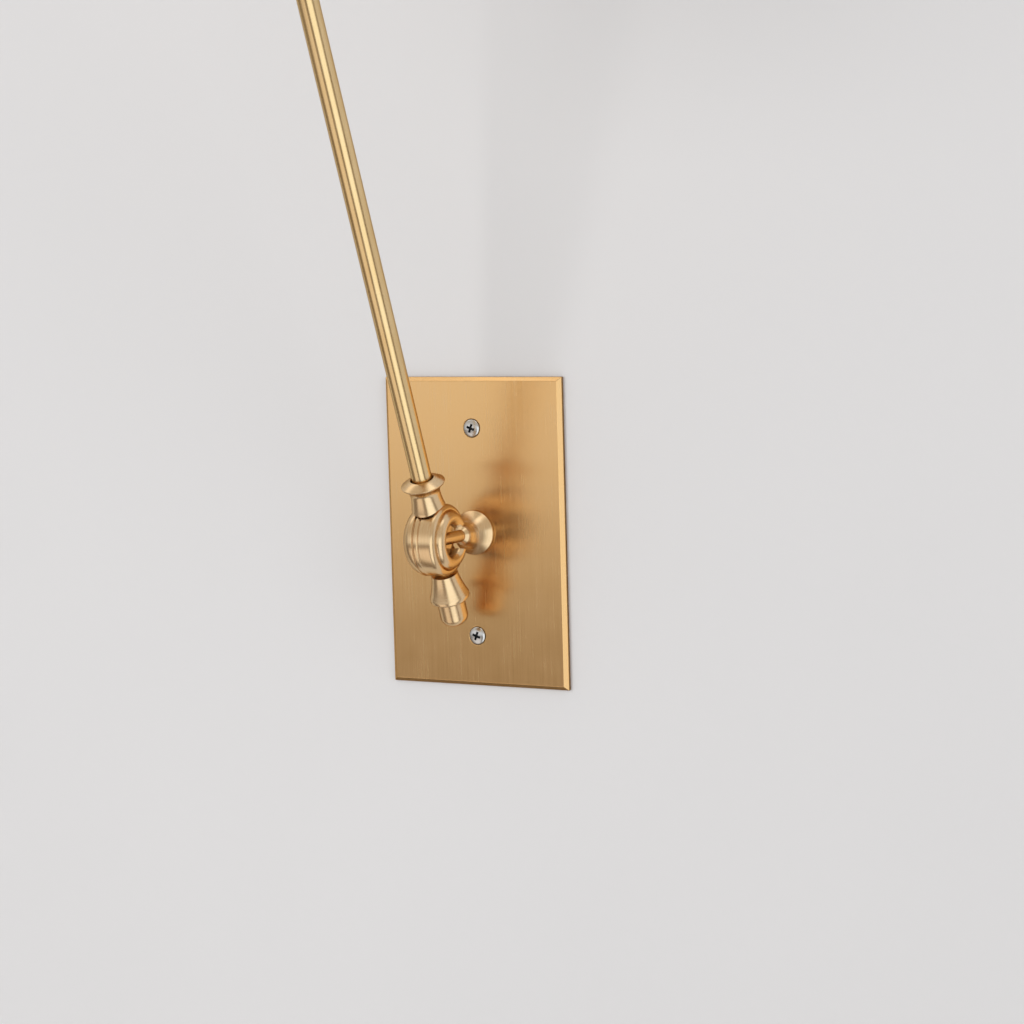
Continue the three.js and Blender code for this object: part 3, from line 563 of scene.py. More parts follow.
def makePlateScrew(side, node):
    place = shift(0, 0, side * plate["screwSpacing"] / 2)
    shank, end = screw["shank"], plateFront + screw["length"]
    threadAt, threadEnd = plateFront + screw["length"] * screw["plainShare"], end - screw["point"]
    profile = [
        *arc((0, plateFront), screw["head"], screw["dome"], 0.75, 1, 14),
        (shank, plateFront + screw["sink"]),
        *threadRows(shank, threadAt, threadEnd, screw["pitch"]),
        (shank - screw["pointDrop"], end),
        (0, end),
    ]
    thread = (shank, threadAt, threadEnd, screw["pitch"], screw["threadDepth"])
    piece = spun(node + "_steel", profile, place, 48, thread=thread)
    spot = place @ shift(0, plateFront - screw["dome"], 0) @ turn(math.radians(screw["turned"]), "Y")
    arm, deep, slot = 2 * screw["arm"], 2 * screw["deep"], screw["slot"]
    cross = block("cutter", (arm, deep, slot), spot)
    carved(cross, [block("cutter", (slot, deep, arm), spot)], "UNION")
    carved(piece, [cross])

    # painted shade: the faces inside the cross recess take the near-black steel
    def recess(spot, facing):
        reach = math.hypot(spot.x, spot.z)
        dome = plateFront - screw["dome"] * math.sqrt(max(0, 1 - (reach / screw["head"]) ** 2))
        nearAxis, skin, lowest = screw["arm"] * 1.2, 0.15, 1.6
        return reach < nearAxis and dome + skin < spot.y < plateFront + lowest

    finished(piece, "wall_mount", "screw_steel", node, shadedRecessSteel, pickedFaces(piece, place, recess))


bellLook = {
    "length": 10.0, "base": 8.9, "neck": 3.9, "rim": 0.9, "power": 2.0, "bore": 2.7,
    "seat": 5.15, "seatDepth": 5.8,
}


def makeBell(place, body, node):
    look = bellLook
    bore, base, top = look["bore"], look["base"], -look["length"]
    profile = [
        (bore, top),
        *flare((look["neck"], top), (base, -look["rim"]), look["power"]),
        *stepped(base, 0, look["seat"], -look["seatDepth"], bore, top),
    ]
    finished(spun(node + "_turned", profile, place, 96, 0.15), body, "fitting_brass", node)


makePlate()
makePlateScrew(1, "upper_screw")
makePlateScrew(-1, "lower_screw")
makeBell(shift(0, plateFront - gap, 0), "wall_mount", "wall_bell")
print("wall side made")


# stub: eye on the pivot, hollow shank
stubLook = {
    "radius": 2.4, "bore": 1.4, "shoulder": 3.7, "shoulderLength": 1.6, "shoulderEdge": 0.35,
    "shoulderAt": 16.1, "land": 0.15, "past": 3.2, "eyeRadius": 8.7, "eyeThickness": 4.0,
    "eyeEdge": 0.5, "pinHole": 2.3, "pinDepth": 3.0, "threadLength": 6.0, "threadLead": 0.2,
    "pitch": 0.75, "threadDepth": 0.28,
}


def makeStub(place, shankEnd, body, node):
    look = stubLook
    right, left = stubOffset, stubOffset - look["eyeThickness"]
    reach, edge = look["eyeRadius"], look["eyeEdge"]
    eye = [(0, left), (reach - edge, left), (reach, left + edge)]
    eye += [(reach, right - edge), (reach - edge, right), (0, right)]
    piece = spun(node + "_turned", eye, place @ alongX, 96)
    radius, start = look["radius"], -look["past"]
    shoulder, shoulderAt = look["shoulder"], look["shoulderAt"]
    threadAt, lead = shankEnd - look["threadLength"], look["threadLead"]
    edgeAt, land = shoulderAt - look["shoulderEdge"], shoulder - look["land"]
    shank = [
        *stepped(0, start, radius, shoulderAt - look["shoulderLength"]),
        *stepped(0, edgeAt, shoulder, shoulderAt, land, shoulderAt + seam, radius)[1:],
        *threadRows(radius, threadAt, shankEnd - lead, look["pitch"]),
        (radius - lead, shankEnd),
        (0, shankEnd),
    ]
    thread = (radius, threadAt, shankEnd, look["pitch"], look["threadDepth"])
    along = place @ shift(stubOffset, 0, 0)
    carved(piece, [spun("cutter", softened(shank, 0.15), along, 64, thread=thread)], "UNION")
    bore = rod(look["bore"], start - 1, shankEnd + 1, along, 32)
    pin = rod(look["pinHole"], left - 1, left + look["pinDepth"], place @ alongX, 32)
    carved(piece, [bore, pin])
    finished(piece, body, "fitting_brass", node)


# knuckle: drum, cap, collar, thumb screw
knuckle = {
    "radius": 14.2, "cavity": 9.0, "left": -2.9, "belt": 9.0, "edge": 0.5, "grooveAt": -0.7,
    "grooveWidth": 0.9, "grooveDepth": 0.6, "shoulder": 2.2, "ring": 11.4, "ringRise": 2.6,
    "ringFoot": 0.2, "mouth": 6.0, "floorWall": 0.85, "hole": 2.4,
}
capLook = {
    "rim": 0.8, "step": 0.5, "rise": 7.5, "land": 0.5, "landShare": 0.9, "spigot": 8.7,
    "spigotLength": 1.1, "seat": 6.2, "seatDepth": 0.9, "pin": 2.3, "pinDepth": 3.1,
}
collarLook = {
    "spigot": 2.1, "reach": 3.2, "root": 4.2, "foot": 6.8, "lift": 0.8, "neck": 5.9,
    "neckAt": 20.6, "lip": 8.7, "lipAt": 24.8, "lipRound": 0.6, "dome": 2.1, "conePower": 0.85,
    "mouth": 4.9, "mouthDepth": 0.9, "floor": 16.5, "seat": 4.3, "wire": 1.4, "across": 18.0,
}
thumbLook = {
    "tip": 2.1, "tipAt": -11.0, "lift": 0.8, "neck": 5.4, "lip": 7.9, "flare": 9.7,
    "power": 1.6, "lipHeight": 1.7, "lipRound": 0.6, "knob": 5.5, "knobLength": 11.0,
    "knobRound": 3.5,
}
tube = {"radius": 4.0, "bore": 2.9, "start": 16.8}


def makeDrum(place, slotFrom, slotTo, node):
    look = knuckle
    left, right = look["left"], look["left"] + look["belt"]
    radius, edge, shoulder, mouth = look["radius"], look["edge"], look["shoulder"], look["mouth"]
    grooveAt, grooveHalf, grooveDepth = look["grooveAt"], look["grooveWidth"] / 2, look["grooveDepth"]
    floor = right - look["floorWall"]
    ringMiddle = (look["ring"] + mouth) / 2
    ringReach = (look["ring"] - mouth) / 2
    profile = [
        (look["cavity"], left),
        (radius - edge, left),
        (radius, left + edge),
        (radius, grooveAt - grooveHalf),
        (radius - grooveDepth, grooveAt),
        (radius, grooveAt + grooveHalf),
        *arc((radius - shoulder, right - shoulder), shoulder, shoulder, 0, 0.25, 10),
        (look["ring"] + look["ringFoot"], right - grooveDepth),
        *arc((ringMiddle, right), ringReach, look["ringRise"], 0, 0.5, 28),
        *stepped(mouth, floor, look["cavity"], left),
    ]
    piece = spun(node + "_turned", profile, place @ alongX, 128, 0.2)
    reach = radius + 2
    openEnd = right + look["ringRise"] + 2
    halfWidth = stubLook["radius"] + gap
    cutters = [
        rod(look["hole"], 0, reach, place @ alongZ, 40),
        rod(look["hole"], -reach, 0, place @ alongZ, 40),
        slotSector(place, slotFrom, slotTo, reach, stubOffset - halfWidth, openEnd),
    ]
    openWidth = openEnd - stubOffset
    for angle in (slotFrom, slotTo):
        spot = place @ shift(stubOffset, 0, 0) @ turn(math.pi / 2 - angle, "X")
        cutters.append(rod(halfWidth, 0, reach, spot, 48))
        size = (openWidth, reach, 2 * halfWidth)
        cutters.append(block("cutter", size, spot @ shift(openWidth / 2, reach / 2, 0)))
    carved(piece, cutters)
    bevelled(piece, 0.12, 2, 40)

    # painted shade: the hollow and the slot, but neither the rolled ring nor the edge under the cap, take a
    # darker, rougher brass; the darker colour stands in for the shade inside the drum
    def inside(spot, facing):
        across, margin, ringDepth = math.hypot(spot.y, spot.z), 0.3, 0.7
        onRing = spot.x > right - ringDepth and facing.x > 0.1 and across > mouth + margin
        return across < look["cavity"] + margin and not onRing and facing.x > -0.9

    finished(piece, "arm", "fitting_brass", node, shadedInsideBrass, pickedFaces(piece, place, inside))


def slotSector(place, slotFrom, slotTo, reach, left, right, steps=24):
    build = bmesh.new()
    rows = []
    for x in (left, right):
        row = [build.verts.new(place @ (Vector((x, 0, 0)) * mm))]
        for i in range(steps + 1):
            angle = slotFrom + (slotTo - slotFrom) * i / steps
            corner = Vector((x, reach * math.sin(angle), reach * math.cos(angle)))
            row.append(build.verts.new(place @ (corner * mm)))
        rows.append(row)
        build.faces.new(row)
    for k in range(steps + 2):
        n = (k + 1) % (steps + 2)
        build.faces.new([rows[0][k], rows[0][n], rows[1][n], rows[1][k]])
    return built("cutter", build)


def makeCap(place, node):
    look = capLook
    radius, face = knuckle["radius"], knuckle["left"] - gap
    rimAt, landAt = face - look["rim"], face + gap * look["landShare"]
    spigotAt = face + look["spigotLength"]
    seatAt = spigotAt - look["seatDepth"]
    steps = [radius, face, radius - look["land"], landAt, look["spigot"], spigotAt, look["seat"], seatAt]
    steps += [look["pin"], seatAt - look["pinDepth"], 0]
    dome = arc((0, rimAt), radius - look["step"], look["rise"], 0.75, 1, 32)
    profile = [*dome, *stepped(0, rimAt, *steps)[1:]]
    piece = spun(node + "_turned", profile, place @ alongX, 128, 0.16)
    finished(piece, "arm", "fitting_brass", node)


def makeCollar(place, node):
    look = collarLook
    radius, cavity, floor, across = knuckle["radius"], knuckle["cavity"], look["floor"], look["across"]
    neck, lip = (look["neck"], look["neckAt"]), (look["lip"], look["lipAt"])
    lipFoot = (look["lip"] - look["lipRound"] / 2, look["lipAt"] - look["lipRound"])
    top = look["lipAt"] + look["dome"]
    cup = [
        (0, cavity),
        (look["foot"], cavity),
        *reversed(flare(neck, (look["foot"], radius), 2, 14)),
        *flare(neck, lipFoot, 2, 20)[1:],
        *reversed(flare((look["mouth"], top), lip, look["conePower"], 12)),
        (0, top),
    ]
    piece = spun(node + "_turned", softened(cup, 0.3), place @ alongZ, 96)
    carved(piece, [rod(radius + look["lift"], -across, across, place @ alongX, 128)])
    root = rod(look["root"], cavity, floor, place @ alongZ, 64)
    carved(root, [rod(radius + gap, -across, across, place @ alongX, 128)])
    spigot = rod(look["spigot"], radius - look["reach"], floor, place @ alongZ, 48)
    carved(piece, [root, spigot], "UNION")
    bores = stepped(0, 0, look["wire"], floor, look["seat"], top - look["mouthDepth"])
    bores += [(look["mouth"], top + gap), (0, top + gap)]
    carved(piece, [spun("cutter", bores, place @ alongZ, 96)])
    bevelled(piece, 0.14, 2, 40)
    finished(piece, "arm", "fitting_brass", node)


def makeThumbScrew(place, body, node):
    look = thumbLook
    shoulder = -(knuckle["radius"] + look["lift"])
    lipAt = shoulder - look["flare"]
    foot = lipAt - look["lipHeight"]
    end = foot - look["knobLength"]
    curve = look["knobRound"]
    profile = [
        (0, end),
        *arc((look["knob"] - curve, end + curve), curve, curve, 0.75, 1, 14),
        (look["knob"], foot),
        (look["lip"] - look["lipRound"], foot),
        (look["lip"], foot + look["lipRound"]),
        *reversed(flare((look["neck"], shoulder), (look["lip"], lipAt), look["power"])),
        (look["tip"], shoulder),
        (look["tip"], look["tipAt"]),
        (0, look["tipAt"]),
    ]
    finished(spun(node + "_turned", profile, place @ alongZ, 96, 0.3), body, "fitting_brass", node)


def makeTube():
    profile = ringProfile(tube["bore"], tube["radius"], tube["start"], armLength - tube["start"])
    piece = spun("arm_tube_drawn", profile, lowerPlace @ alongZ, 96, 0.3)
    finished(piece, "arm", "tube_brass", "arm_tube")


stubAngle = math.pi / 2 + armLean
armIn, armOut = (math.radians(x) for x in joints["arm_tilt"]["range_deg"])
headIn, headOut = (math.radians(x) for x in joints["head_tilt"]["range_deg"])
stubEnd = (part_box("swivel_stub")[1].y - lowerPivot.y) / mm

makeStub(swivelPlace, stubEnd, "swivel", "swivel_stub")
makeDrum(lowerPlace, stubAngle + armIn, stubAngle + armOut, "lower_drum")
makeDrum(upperPlace, lampAngle + headIn, lampAngle + headOut, "upper_drum")
for level, spot in (("lower", lowerPlace), ("upper", upperPlace)):
    makeCap(spot, level + "_cap")
    makeCollar(spot, level + "_collar")
    makeThumbScrew(spot, level + "_thumb", level + "_thumb_screw")
makeTube()
print("arm and knuckles made")


# nuts, washers and nipples of the two swivels
fastener = {
    "bigAcross": 14.0, "bigBore": 5.15, "bigThick": 3.0, "smallAcross": 8.0, "smallBore": 2.7,
    "smallThick": 2.6, "smallWasher": 4.6, "chamfer": 0.7, "lead": 0.4, "nipple": 4.85,
    "nippleBore": 2.7, "nippleStart": -8.8, "nippleEnd": 8.0, "pitch": 1.0, "threadDepth": 0.45,
    "washer": 7.6, "washerThick": 0.8, "teeth": 10, "toothDepth": 1.1, "toothRoot": 0.2,
    "toothWidth": 0.95, "toothThick": 0.7, "toothTwist": 7.0,
}


def makeNut(place, size, seat, body, node):
    across, bore, thick = (fastener[size + part] for part in ("Across", "Bore", "Thick"))
    chamfer, lead = fastener["chamfer"], fastener["lead"]
    corner, top = across / math.sqrt(3), seat + thick
    cut = corner - chamfer
    blank = [(0, seat), (cut, seat), (corner, seat + chamfer / 2)]
    blank += [(corner, top - chamfer / 2), (cut, top), (0, top)]
    piece = spun(node + "_hex", rodProfile(corner, seat, top), place @ turn(math.pi / 6, "Y"), 6)
    carved(piece, [spun("cutter", blank, place, 96)], "INTERSECT")
    wide = bore + lead
    hole = [*stepped(0, seat - 1, wide, seat), (bore, seat + lead), (bore, top - lead)]
    hole += [(wide, top), (wide, top + 1), (0, top + 1)]
    carved(piece, [spun("cutter", hole, place, 64)])
    bevelled(piece, 0.12, 2)
    finished(piece, body, "raw_brass", node)


def makeNipple(name, place, start, end, body, node):
    radius, bore, lead = fastener["nipple"], fastener["nippleBore"], fastener["lead"]
    threadAt, threadEnd, pitch = start + lead, end - lead, fastener["pitch"]
    rows = threadRows(radius, threadAt, threadEnd, pitch)
    foot = radius - lead
    profile = [(bore, start), (foot, start), *rows, (foot, end), (bore, end), (bore, start)]
    thread = (radius, threadAt, threadEnd, pitch, fastener["threadDepth"])
    finished(spun(name, profile, place, 64, thread=thread), body, "raw_brass", node)


# node trees for what repeats round a ring, built about Z
def startTree(name, sockets):
    tree = bpy.data.node_groups.new(name, "GeometryNodeTree")
    tree.interface.new_socket("Geometry", in_out="INPUT", socket_type="NodeSocketGeometry")
    tree.interface.new_socket("Geometry", in_out="OUTPUT", socket_type="NodeSocketGeometry")
    for label, kind in (*sockets.items(), ("Material", "Material")):
        tree.interface.new_socket(label, in_out="INPUT", socket_type="NodeSocket" + kind)
    return tree, tree.nodes.new("NodeGroupInput").outputs, tree.nodes.new("NodeGroupOutput").inputs


def grown(piece, tree, values):
    modifier = piece.modifiers.new("grow", "NODES")
    modifier.node_group = tree
    for item in tree.interface.items_tree:
        if item.in_out == "INPUT" and item.name in values:
            modifier[item.identifier] = values[item.name]
    return settle(piece)


def placedOnCircle(tree, count, radius, instance):
    circle = nodeIn(tree, "GeometryNodeMeshCircle", Vertices=count, Radius=radius)
    spot = nodeIn(tree, "GeometryNodeInputPosition").outputs["Position"]
    outward = nodeIn(tree, "FunctionNodeAlignRotationToVector", axis="X", Vector=spot)
    laid = nodeIn(tree, "GeometryNodeInstanceOnPoints", Points=circle.outputs["Mesh"], Instance=instance)
    return setIn(tree, laid, Rotation=outward.outputs["Rotation"]).outputs["Instances"]


def closeTree(tree, geometry, material, outputs):
    real = nodeIn(tree, "GeometryNodeRealizeInstances", Geometry=geometry)
    painted = nodeIn(tree, "GeometryNodeSetMaterial", Geometry=real.outputs["Geometry"], Material=material)
    tree.links.new(painted.outputs["Geometry"], outputs["Geometry"])
    return tree


def toothTree():
    sockets = {"Teeth": "Int", "Reach": "Float", "Tooth Size": "Vector", "Twist": "Float"}
    tree, given, outputs = startTree("washerTeeth", sockets)
    tooth = nodeIn(tree, "GeometryNodeMeshCube", Size=given["Tooth Size"])
    twist = nodeIn(tree, "ShaderNodeCombineXYZ", X=given["Twist"])
    twisted = nodeIn(tree, "GeometryNodeTransform", Geometry=tooth.outputs["Mesh"])
    setIn(tree, twisted, Rotation=twist.outputs["Vector"])
    teeth = placedOnCircle(tree, given["Teeth"], given["Reach"], twisted.outputs["Geometry"])
    both = nodeIn(tree, "GeometryNodeJoinGeometry", Geometry=teeth)
    setIn(tree, both, Geometry=given["Geometry"])
    return closeTree(tree, both.outputs["Geometry"], given["Material"], outputs)


def gripTree():
    sockets = {"Grips": "Int", "Reach": "Float", "Grip Radius": "Float", "Length": "Float"}
    tree, given, outputs = startTree("ringGrips", sockets)
    grip = nodeIn(tree, "GeometryNodeMeshCylinder", Vertices=24)
    setIn(tree, grip, Radius=given["Grip Radius"], Depth=given["Length"])
    grips = placedOnCircle(tree, given["Grips"], given["Reach"], grip.outputs["Mesh"])
    loose = nodeIn(tree, "GeometryNodeRealizeInstances", Geometry=grips)
    cut = nodeIn(tree, "GeometryNodeMeshBoolean", operation="DIFFERENCE", solver="EXACT")
    tree.links.new(given["Geometry"], cut.inputs["Mesh 1"])
    tree.links.new(loose.outputs["Geometry"], cut.inputs["Mesh 2"])
    return closeTree(tree, cut.outputs["Mesh"], given["Material"], outputs)


def makeLockWasher():
    look = fastener
    thick, depth, root = look["washerThick"], look["toothDepth"], look["toothRoot"]
    inner, outer = look["bigBore"], look["washer"] - depth
    piece = spun("lock_washer_toothed", ringProfile(inner, outer, -thick / 2, thick / 2), alongZ, 96, 0.12)
    width = math.pi * look["washer"] / look["teeth"] * look["toothWidth"]
    values = {
        "Teeth": look["teeth"],
        "Reach": (outer + depth / 2 - root) * mm,
        "Tooth Size": ((depth + 2 * root) * mm, width * mm, thick * look["toothThick"] * mm),
        "Twist": math.radians(look["toothTwist"]),
        "Material": finishes["plain_steel"],
    }
    grown(piece, toothTree(), values)
    piece.data.transform(shift(0, gap + thick / 2, 0) @ alongZ.inverted())
    finished(smooth(piece), "wall_mount", "plain_steel", "lock_washer")


def makeTailPieces():
    look = fastener
    thick, nippleEnd = look["washerThick"], look["nippleEnd"]
    washerAt = nippleEnd + gap
    washer = ringProfile(look["smallBore"], look["smallWasher"], washerAt, washerAt + thick)
    piece = spun("swivel_washer_flat", washer, Matrix(), 64, 0.12)
    finished(piece, "swivel", "plain_steel", "swivel_washer")
    makeNut(Matrix(), "small", washerAt + thick + gap, "swivel", "swivel_nut")
    makeNut(Matrix(), "big", gap + thick + gap, "wall_mount", "nipple_nut")
    start = look["nippleStart"]
    makeNipple("wall_nipple_threaded", Matrix(), start, nippleEnd, "wall_mount", "threaded_nipple")


groundLook = {"shank": 2.1, "head": 4.4, "height": 2.3, "slot": 1.1, "slotDepth": 1.0, "turned": 0.5}


def makeGroundScrew():
    look = groundLook
    half, tipAt = look["height"] / 2, gap - plate["groundDepth"]
    place = shift(0, 0, -plate["groundDrop"])
    dome = arc((0, gap + half), look["head"], half, 0, 0.25, 12)
    profile = [*stepped(0, tipAt, look["shank"], gap, look["head"]), *dome]
    piece = spun("ground_screw_green", profile, place, 64)
    slot = (2 * look["head"] + 2, 2 * look["slotDepth"], look["slot"])
    slotPlace = place @ shift(0, gap + look["height"], 0) @ turn(look["turned"], "Y")
    carved(piece, [block("cutter", slot, slotPlace)])
    bevelled(piece, 0.12, 2)
    finished(piece, "wall_mount", "green_screw", "ground_screw")


wire = {"radius": 1.1, "past": stubLook["past"], "armStart": 11.0}


def makeWire(place, start, end, body, node):
    piece = spun(node + "_sheathed", rodProfile(wire["radius"], start, end), place, 40, 0.2)
    finished(piece, body, "wire_sheath", node)


makeLockWasher()
makeTailPieces()
makeGroundScrew()
pivotAt = lowerPivot.y / mm
makeWire(Matrix(), pivotAt - wire["past"], pivotAt + stubEnd, "swivel", "swivel_wire")
makeWire(lowerPlace @ alongZ, wire["armStart"], armLength - wire["armStart"], "arm", "arm_wire")
print("fastenings and wires made")


# lamp head, along its own axis from the upper pivot
lamp = {
    "bellBase": 26.4, "cup": 19.3, "cupWall": 1.0, "cupLength": 35.0, "cupShoulder": 8.0,
    "nippleInCup": 6.0, "nippleInBell": 5.5, "standoff": 1.3, "holderFloor": 9.0,
    "holderFoot": 13.5, "tongue": 2.6, "shellFoot": 6.5, "shellWall": 0.5, "shellLength": 24.0,
    "contact": 4.0, "contactHeight": 1.4,
}
shadeLook = {"mouth": 70.0, "neck": 27.0, "length": 104.0, "wall": 0.9, "shoulder": 7.0, "rim": 1.7}
ringLook = {"height": 6.0, "thickness": 3.0, "grips": 18, "gripRadius": 1.2, "gripDepth": 0.6}
bulb = {
    "radius": 24.0, "base": 13.0, "baseLength": 21.0, "baseWall": 0.6, "lead": 0.4, "lip": 1.6,
    "pitch": 3.6, "threadDepth": 0.7, "neck": 12.0, "neckLength": 12.0, "wall": 1.0,
    "insulator": 2.6, "tip": 4.5, "tipHeight": 1.6,
}
cupTop = lamp["bellBase"] + gap
nippleEnd = cupTop + lamp["cupWall"] + lamp["nippleInCup"]
cupEnd = cupTop + lamp["cupLength"]
shadeTop = cupEnd + gap
holderRadius = lamp["cup"] - lamp["cupWall"] - gap
holderTop = nippleEnd + lamp["standoff"]
holderFloorAt = holderTop + lamp["holderFloor"]
shellOuter = bulb["base"] + gap + lamp["shellWall"]
contactTop = holderFloorAt + gap + lamp["contactHeight"]
tipAt = contactTop + gap
baseAt = tipAt + bulb["tipHeight"] + bulb["insulator"]
baseEnd = baseAt + bulb["baseLength"]


def makeHeadFitting():
    bellBase, end = lamp["bellBase"], nippleEnd - gap
    makeStub(headPlace, end, "head", "head_stub")
    makeBell(lampPlace @ shift(0, bellBase, 0), "head", "head_bell")
    start = bellBase - lamp["nippleInBell"]
    makeNipple("head_nipple_threaded", lampPlace, start, nippleEnd, "head", "head_nipple")
    makeNut(lampPlace, "big", cupTop + lamp["cupWall"] + gap, "head", "head_nut")
    makeWire(lampPlace, -wire["past"], end, "head", "head_wire")


def spunInHead(name, profile, sides, radius, slot, node, thread=None):
    finished(spun(name, profile, lampPlace, sides, radius, thread), "head", slot, node)


def makeSocketCup():
    reach, shoulder = lamp["cup"], lamp["cupShoulder"]
    bend = (reach - shoulder, cupTop + shoulder)
    outer = [
        (fastener["bigBore"], cupTop),
        (reach - shoulder, cupTop),
        *arc(bend, shoulder, shoulder, 0.75, 1, 16)[1:],
        (reach, cupEnd + seam),
    ]
    spunInHead("socket_cup_spun", shellOf(outer, lamp["cupWall"]), 144, 0.25, "shade_brass", "socket_cup")


def makeLampholder():
    tongue, wall = lamp["tongue"], lamp["shellWall"]
    end = cupEnd + ringLook["height"] + 2 * gap + shadeLook["wall"]
    holder = [
        (tongue, holderTop),
        (lamp["holderFoot"], holderTop),
        (holderRadius, holderTop + lamp["holderFloor"] / 2),
        *stepped(holderRadius, end, shellOuter + gap, holderFloorAt, tongue, holderTop),
    ]
    spunInHead("lampholder_glazed", holder, 128, 0.6, "porcelain", "lampholder")
    foot, shellFoot = holderFloorAt + gap, lamp["shellFoot"]
    shellEnd = foot + lamp["shellLength"]
    shell = stepped(shellFoot, foot, shellOuter, shellEnd, shellOuter - wall, foot + wall, shellFoot, foot)
    spunInHead("screw_shell_pressed", shell, 96, 0.15, "shell_aluminium", "screw_shell")
    contact = stepped(0, holderTop + gap, tongue - gap, foot, lamp["contact"])
    contact += [(lamp["contact"] - lamp["contactHeight"] / 2, contactTop), (0, contactTop)]
    spunInHead("centre_contact_turned", contact, 48, 0.2, "raw_brass", "centre_contact")


def makeShade():
    look = shadeLook
    mouth, wall, shoulder = look["mouth"], look["wall"], look["shoulder"]
    mouthAt = shadeTop + look["length"] - look["rim"]
    slope = math.atan2(mouth - look["neck"], look["length"] - shoulder)
    bend = (look["neck"] - shoulder, shadeTop + shoulder)
    outer = [
        (holderRadius + gap, shadeTop),
        *arc(bend, shoulder, shoulder, 0.75, 1 - slope / (2 * math.pi), 18),
        (mouth, mouthAt),
    ]
    piece = spun("shade_spun", shellOf(outer, wall), lampPlace, 192, 0.2)
    rim = arc((mouth - wall / 2, mouthAt), look["rim"], look["rim"], 0, 1, 24)
    carved(piece, [spun("cutter", rim[:-1] + rim[:1], lampPlace, 192)], "UNION")

    def inner(spot, facing):
        outward = Vector((spot.x, 0, spot.z)).normalized()
        return facing.dot(outward) < 0 or (spot.y < shadeTop + shoulder and facing.y > 0.3)

    finished(piece, "head", "shade_brass", "shade", shadeWhite, pickedFaces(piece, lampPlace, inner))


def makeShadeRing():
    look = ringLook
    inner = holderRadius + gap
    outer, half = inner + look["thickness"], look["height"] / 2
    piece = spun("shade_ring_gripped", ringProfile(inner, outer, -half, half), alongZ, 144, 0.35)
    values = {
        "Grips": look["grips"],
        "Reach": (outer + look["gripDepth"]) * mm,
        "Grip Radius": look["gripRadius"] * mm,
        "Length": (look["height"] + 4) * mm,
        "Material": finishes["shade_brass"],
    }
    grown(piece, gripTree(), values)
    middle = shadeTop + shadeLook["wall"] + gap + half
    piece.data.transform(lampPlace @ shift(0, middle, 0) @ alongZ.inverted())
    bevelled(smooth(piece), 0.12, 2, 30)
    finished(piece, "head", "shade_brass", "shade_ring")


def makeBulb():
    look = bulb
    base, depth, wall, lead, pitch = (look[k] for k in ("base", "threadDepth", "baseWall", "lead", "pitch"))
    foot, threadEnd = baseAt + pitch / 2, baseEnd - look["lip"]
    bore = base - depth - wall
    tip, tipTop = look["tip"], tipAt + look["tipHeight"]
    hole = tip + gap
    profile = [
        (hole, baseAt),
        (base - depth, foot),
        *threadRows(base, foot + lead, threadEnd, pitch),
        (base - depth / 2, baseEnd),
        (bore, baseEnd),
        (bore, foot + wall),
        (hole, baseAt + wall),
        (hole, baseAt),
    ]
    thread = (base, foot + lead, threadEnd, pitch, depth)
    spunInHead("bulb_base_threaded", profile, 96, 0.0, "shell_aluminium", "bulb_base", thread)
    insulator = [(0, tipTop + gap), (tip, tipTop + gap)]
    insulator += stepped(tip + 2 * gap, baseAt - gap, tip, baseAt + wall, 0)
    spunInHead("bulb_insulator_fused", insulator, 64, 0.2, "black_glass", "bulb_insulator")
    solder = [*arc((0, tipTop), tip, look["tipHeight"], 0.75, 1, 12), (0, tipTop)]
    spunInHead("bulb_tip_soldered", solder, 48, 0.0, "shell_aluminium", "bulb_tip")
    centre = baseEnd + look["neckLength"] + look["radius"]
    startTurn = 0.75 + math.asin(look["neck"] / look["radius"]) / (2 * math.pi)
    globe = arc((0, centre), look["radius"], look["radius"], startTurn, 1.25, 40)
    outline = softened([(bore - gap, baseAt + pitch), (bore - gap, baseEnd + gap), *globe], 5, 8)
    spunInHead("bulb_glass_blown", shellOf(outline, look["wall"]), 96, 0.0, "frosted_glass", "bulb_glass")


makeHeadFitting()
makeSocketCup()
makeLampholder()
makeShade()
makeShadeRing()
makeBulb()
print("lamp head made")


# finishes of the hidden nodes that stay as they are
kept = {"pivot_pin": "plain_steel", "spring_washer": "plain_steel", "brake_pad": "brake_fibre"}
for part, slot in kept.items():
    for level in ("lower_", "upper_"):
        materials = frame["nodes"][level + part].data.materials
        materials.clear()
        materials.append(finishes[slot])


# wall, floor and light
studio = {
    "wall": (0.775, 0.772, 0.790),
    "floor": (0.80, 0.79, 0.77),
    "floorDrop": 1300.0,
    "background": (0.86, 0.85, 0.84),
    "fill": 0.62,
    "fillColour": (1.0, 0.99, 0.97),
    "reach": 3000.0,
    "holeLap": 1.0,  # the wall is open behind the plate, whose edge laps it by this much
}


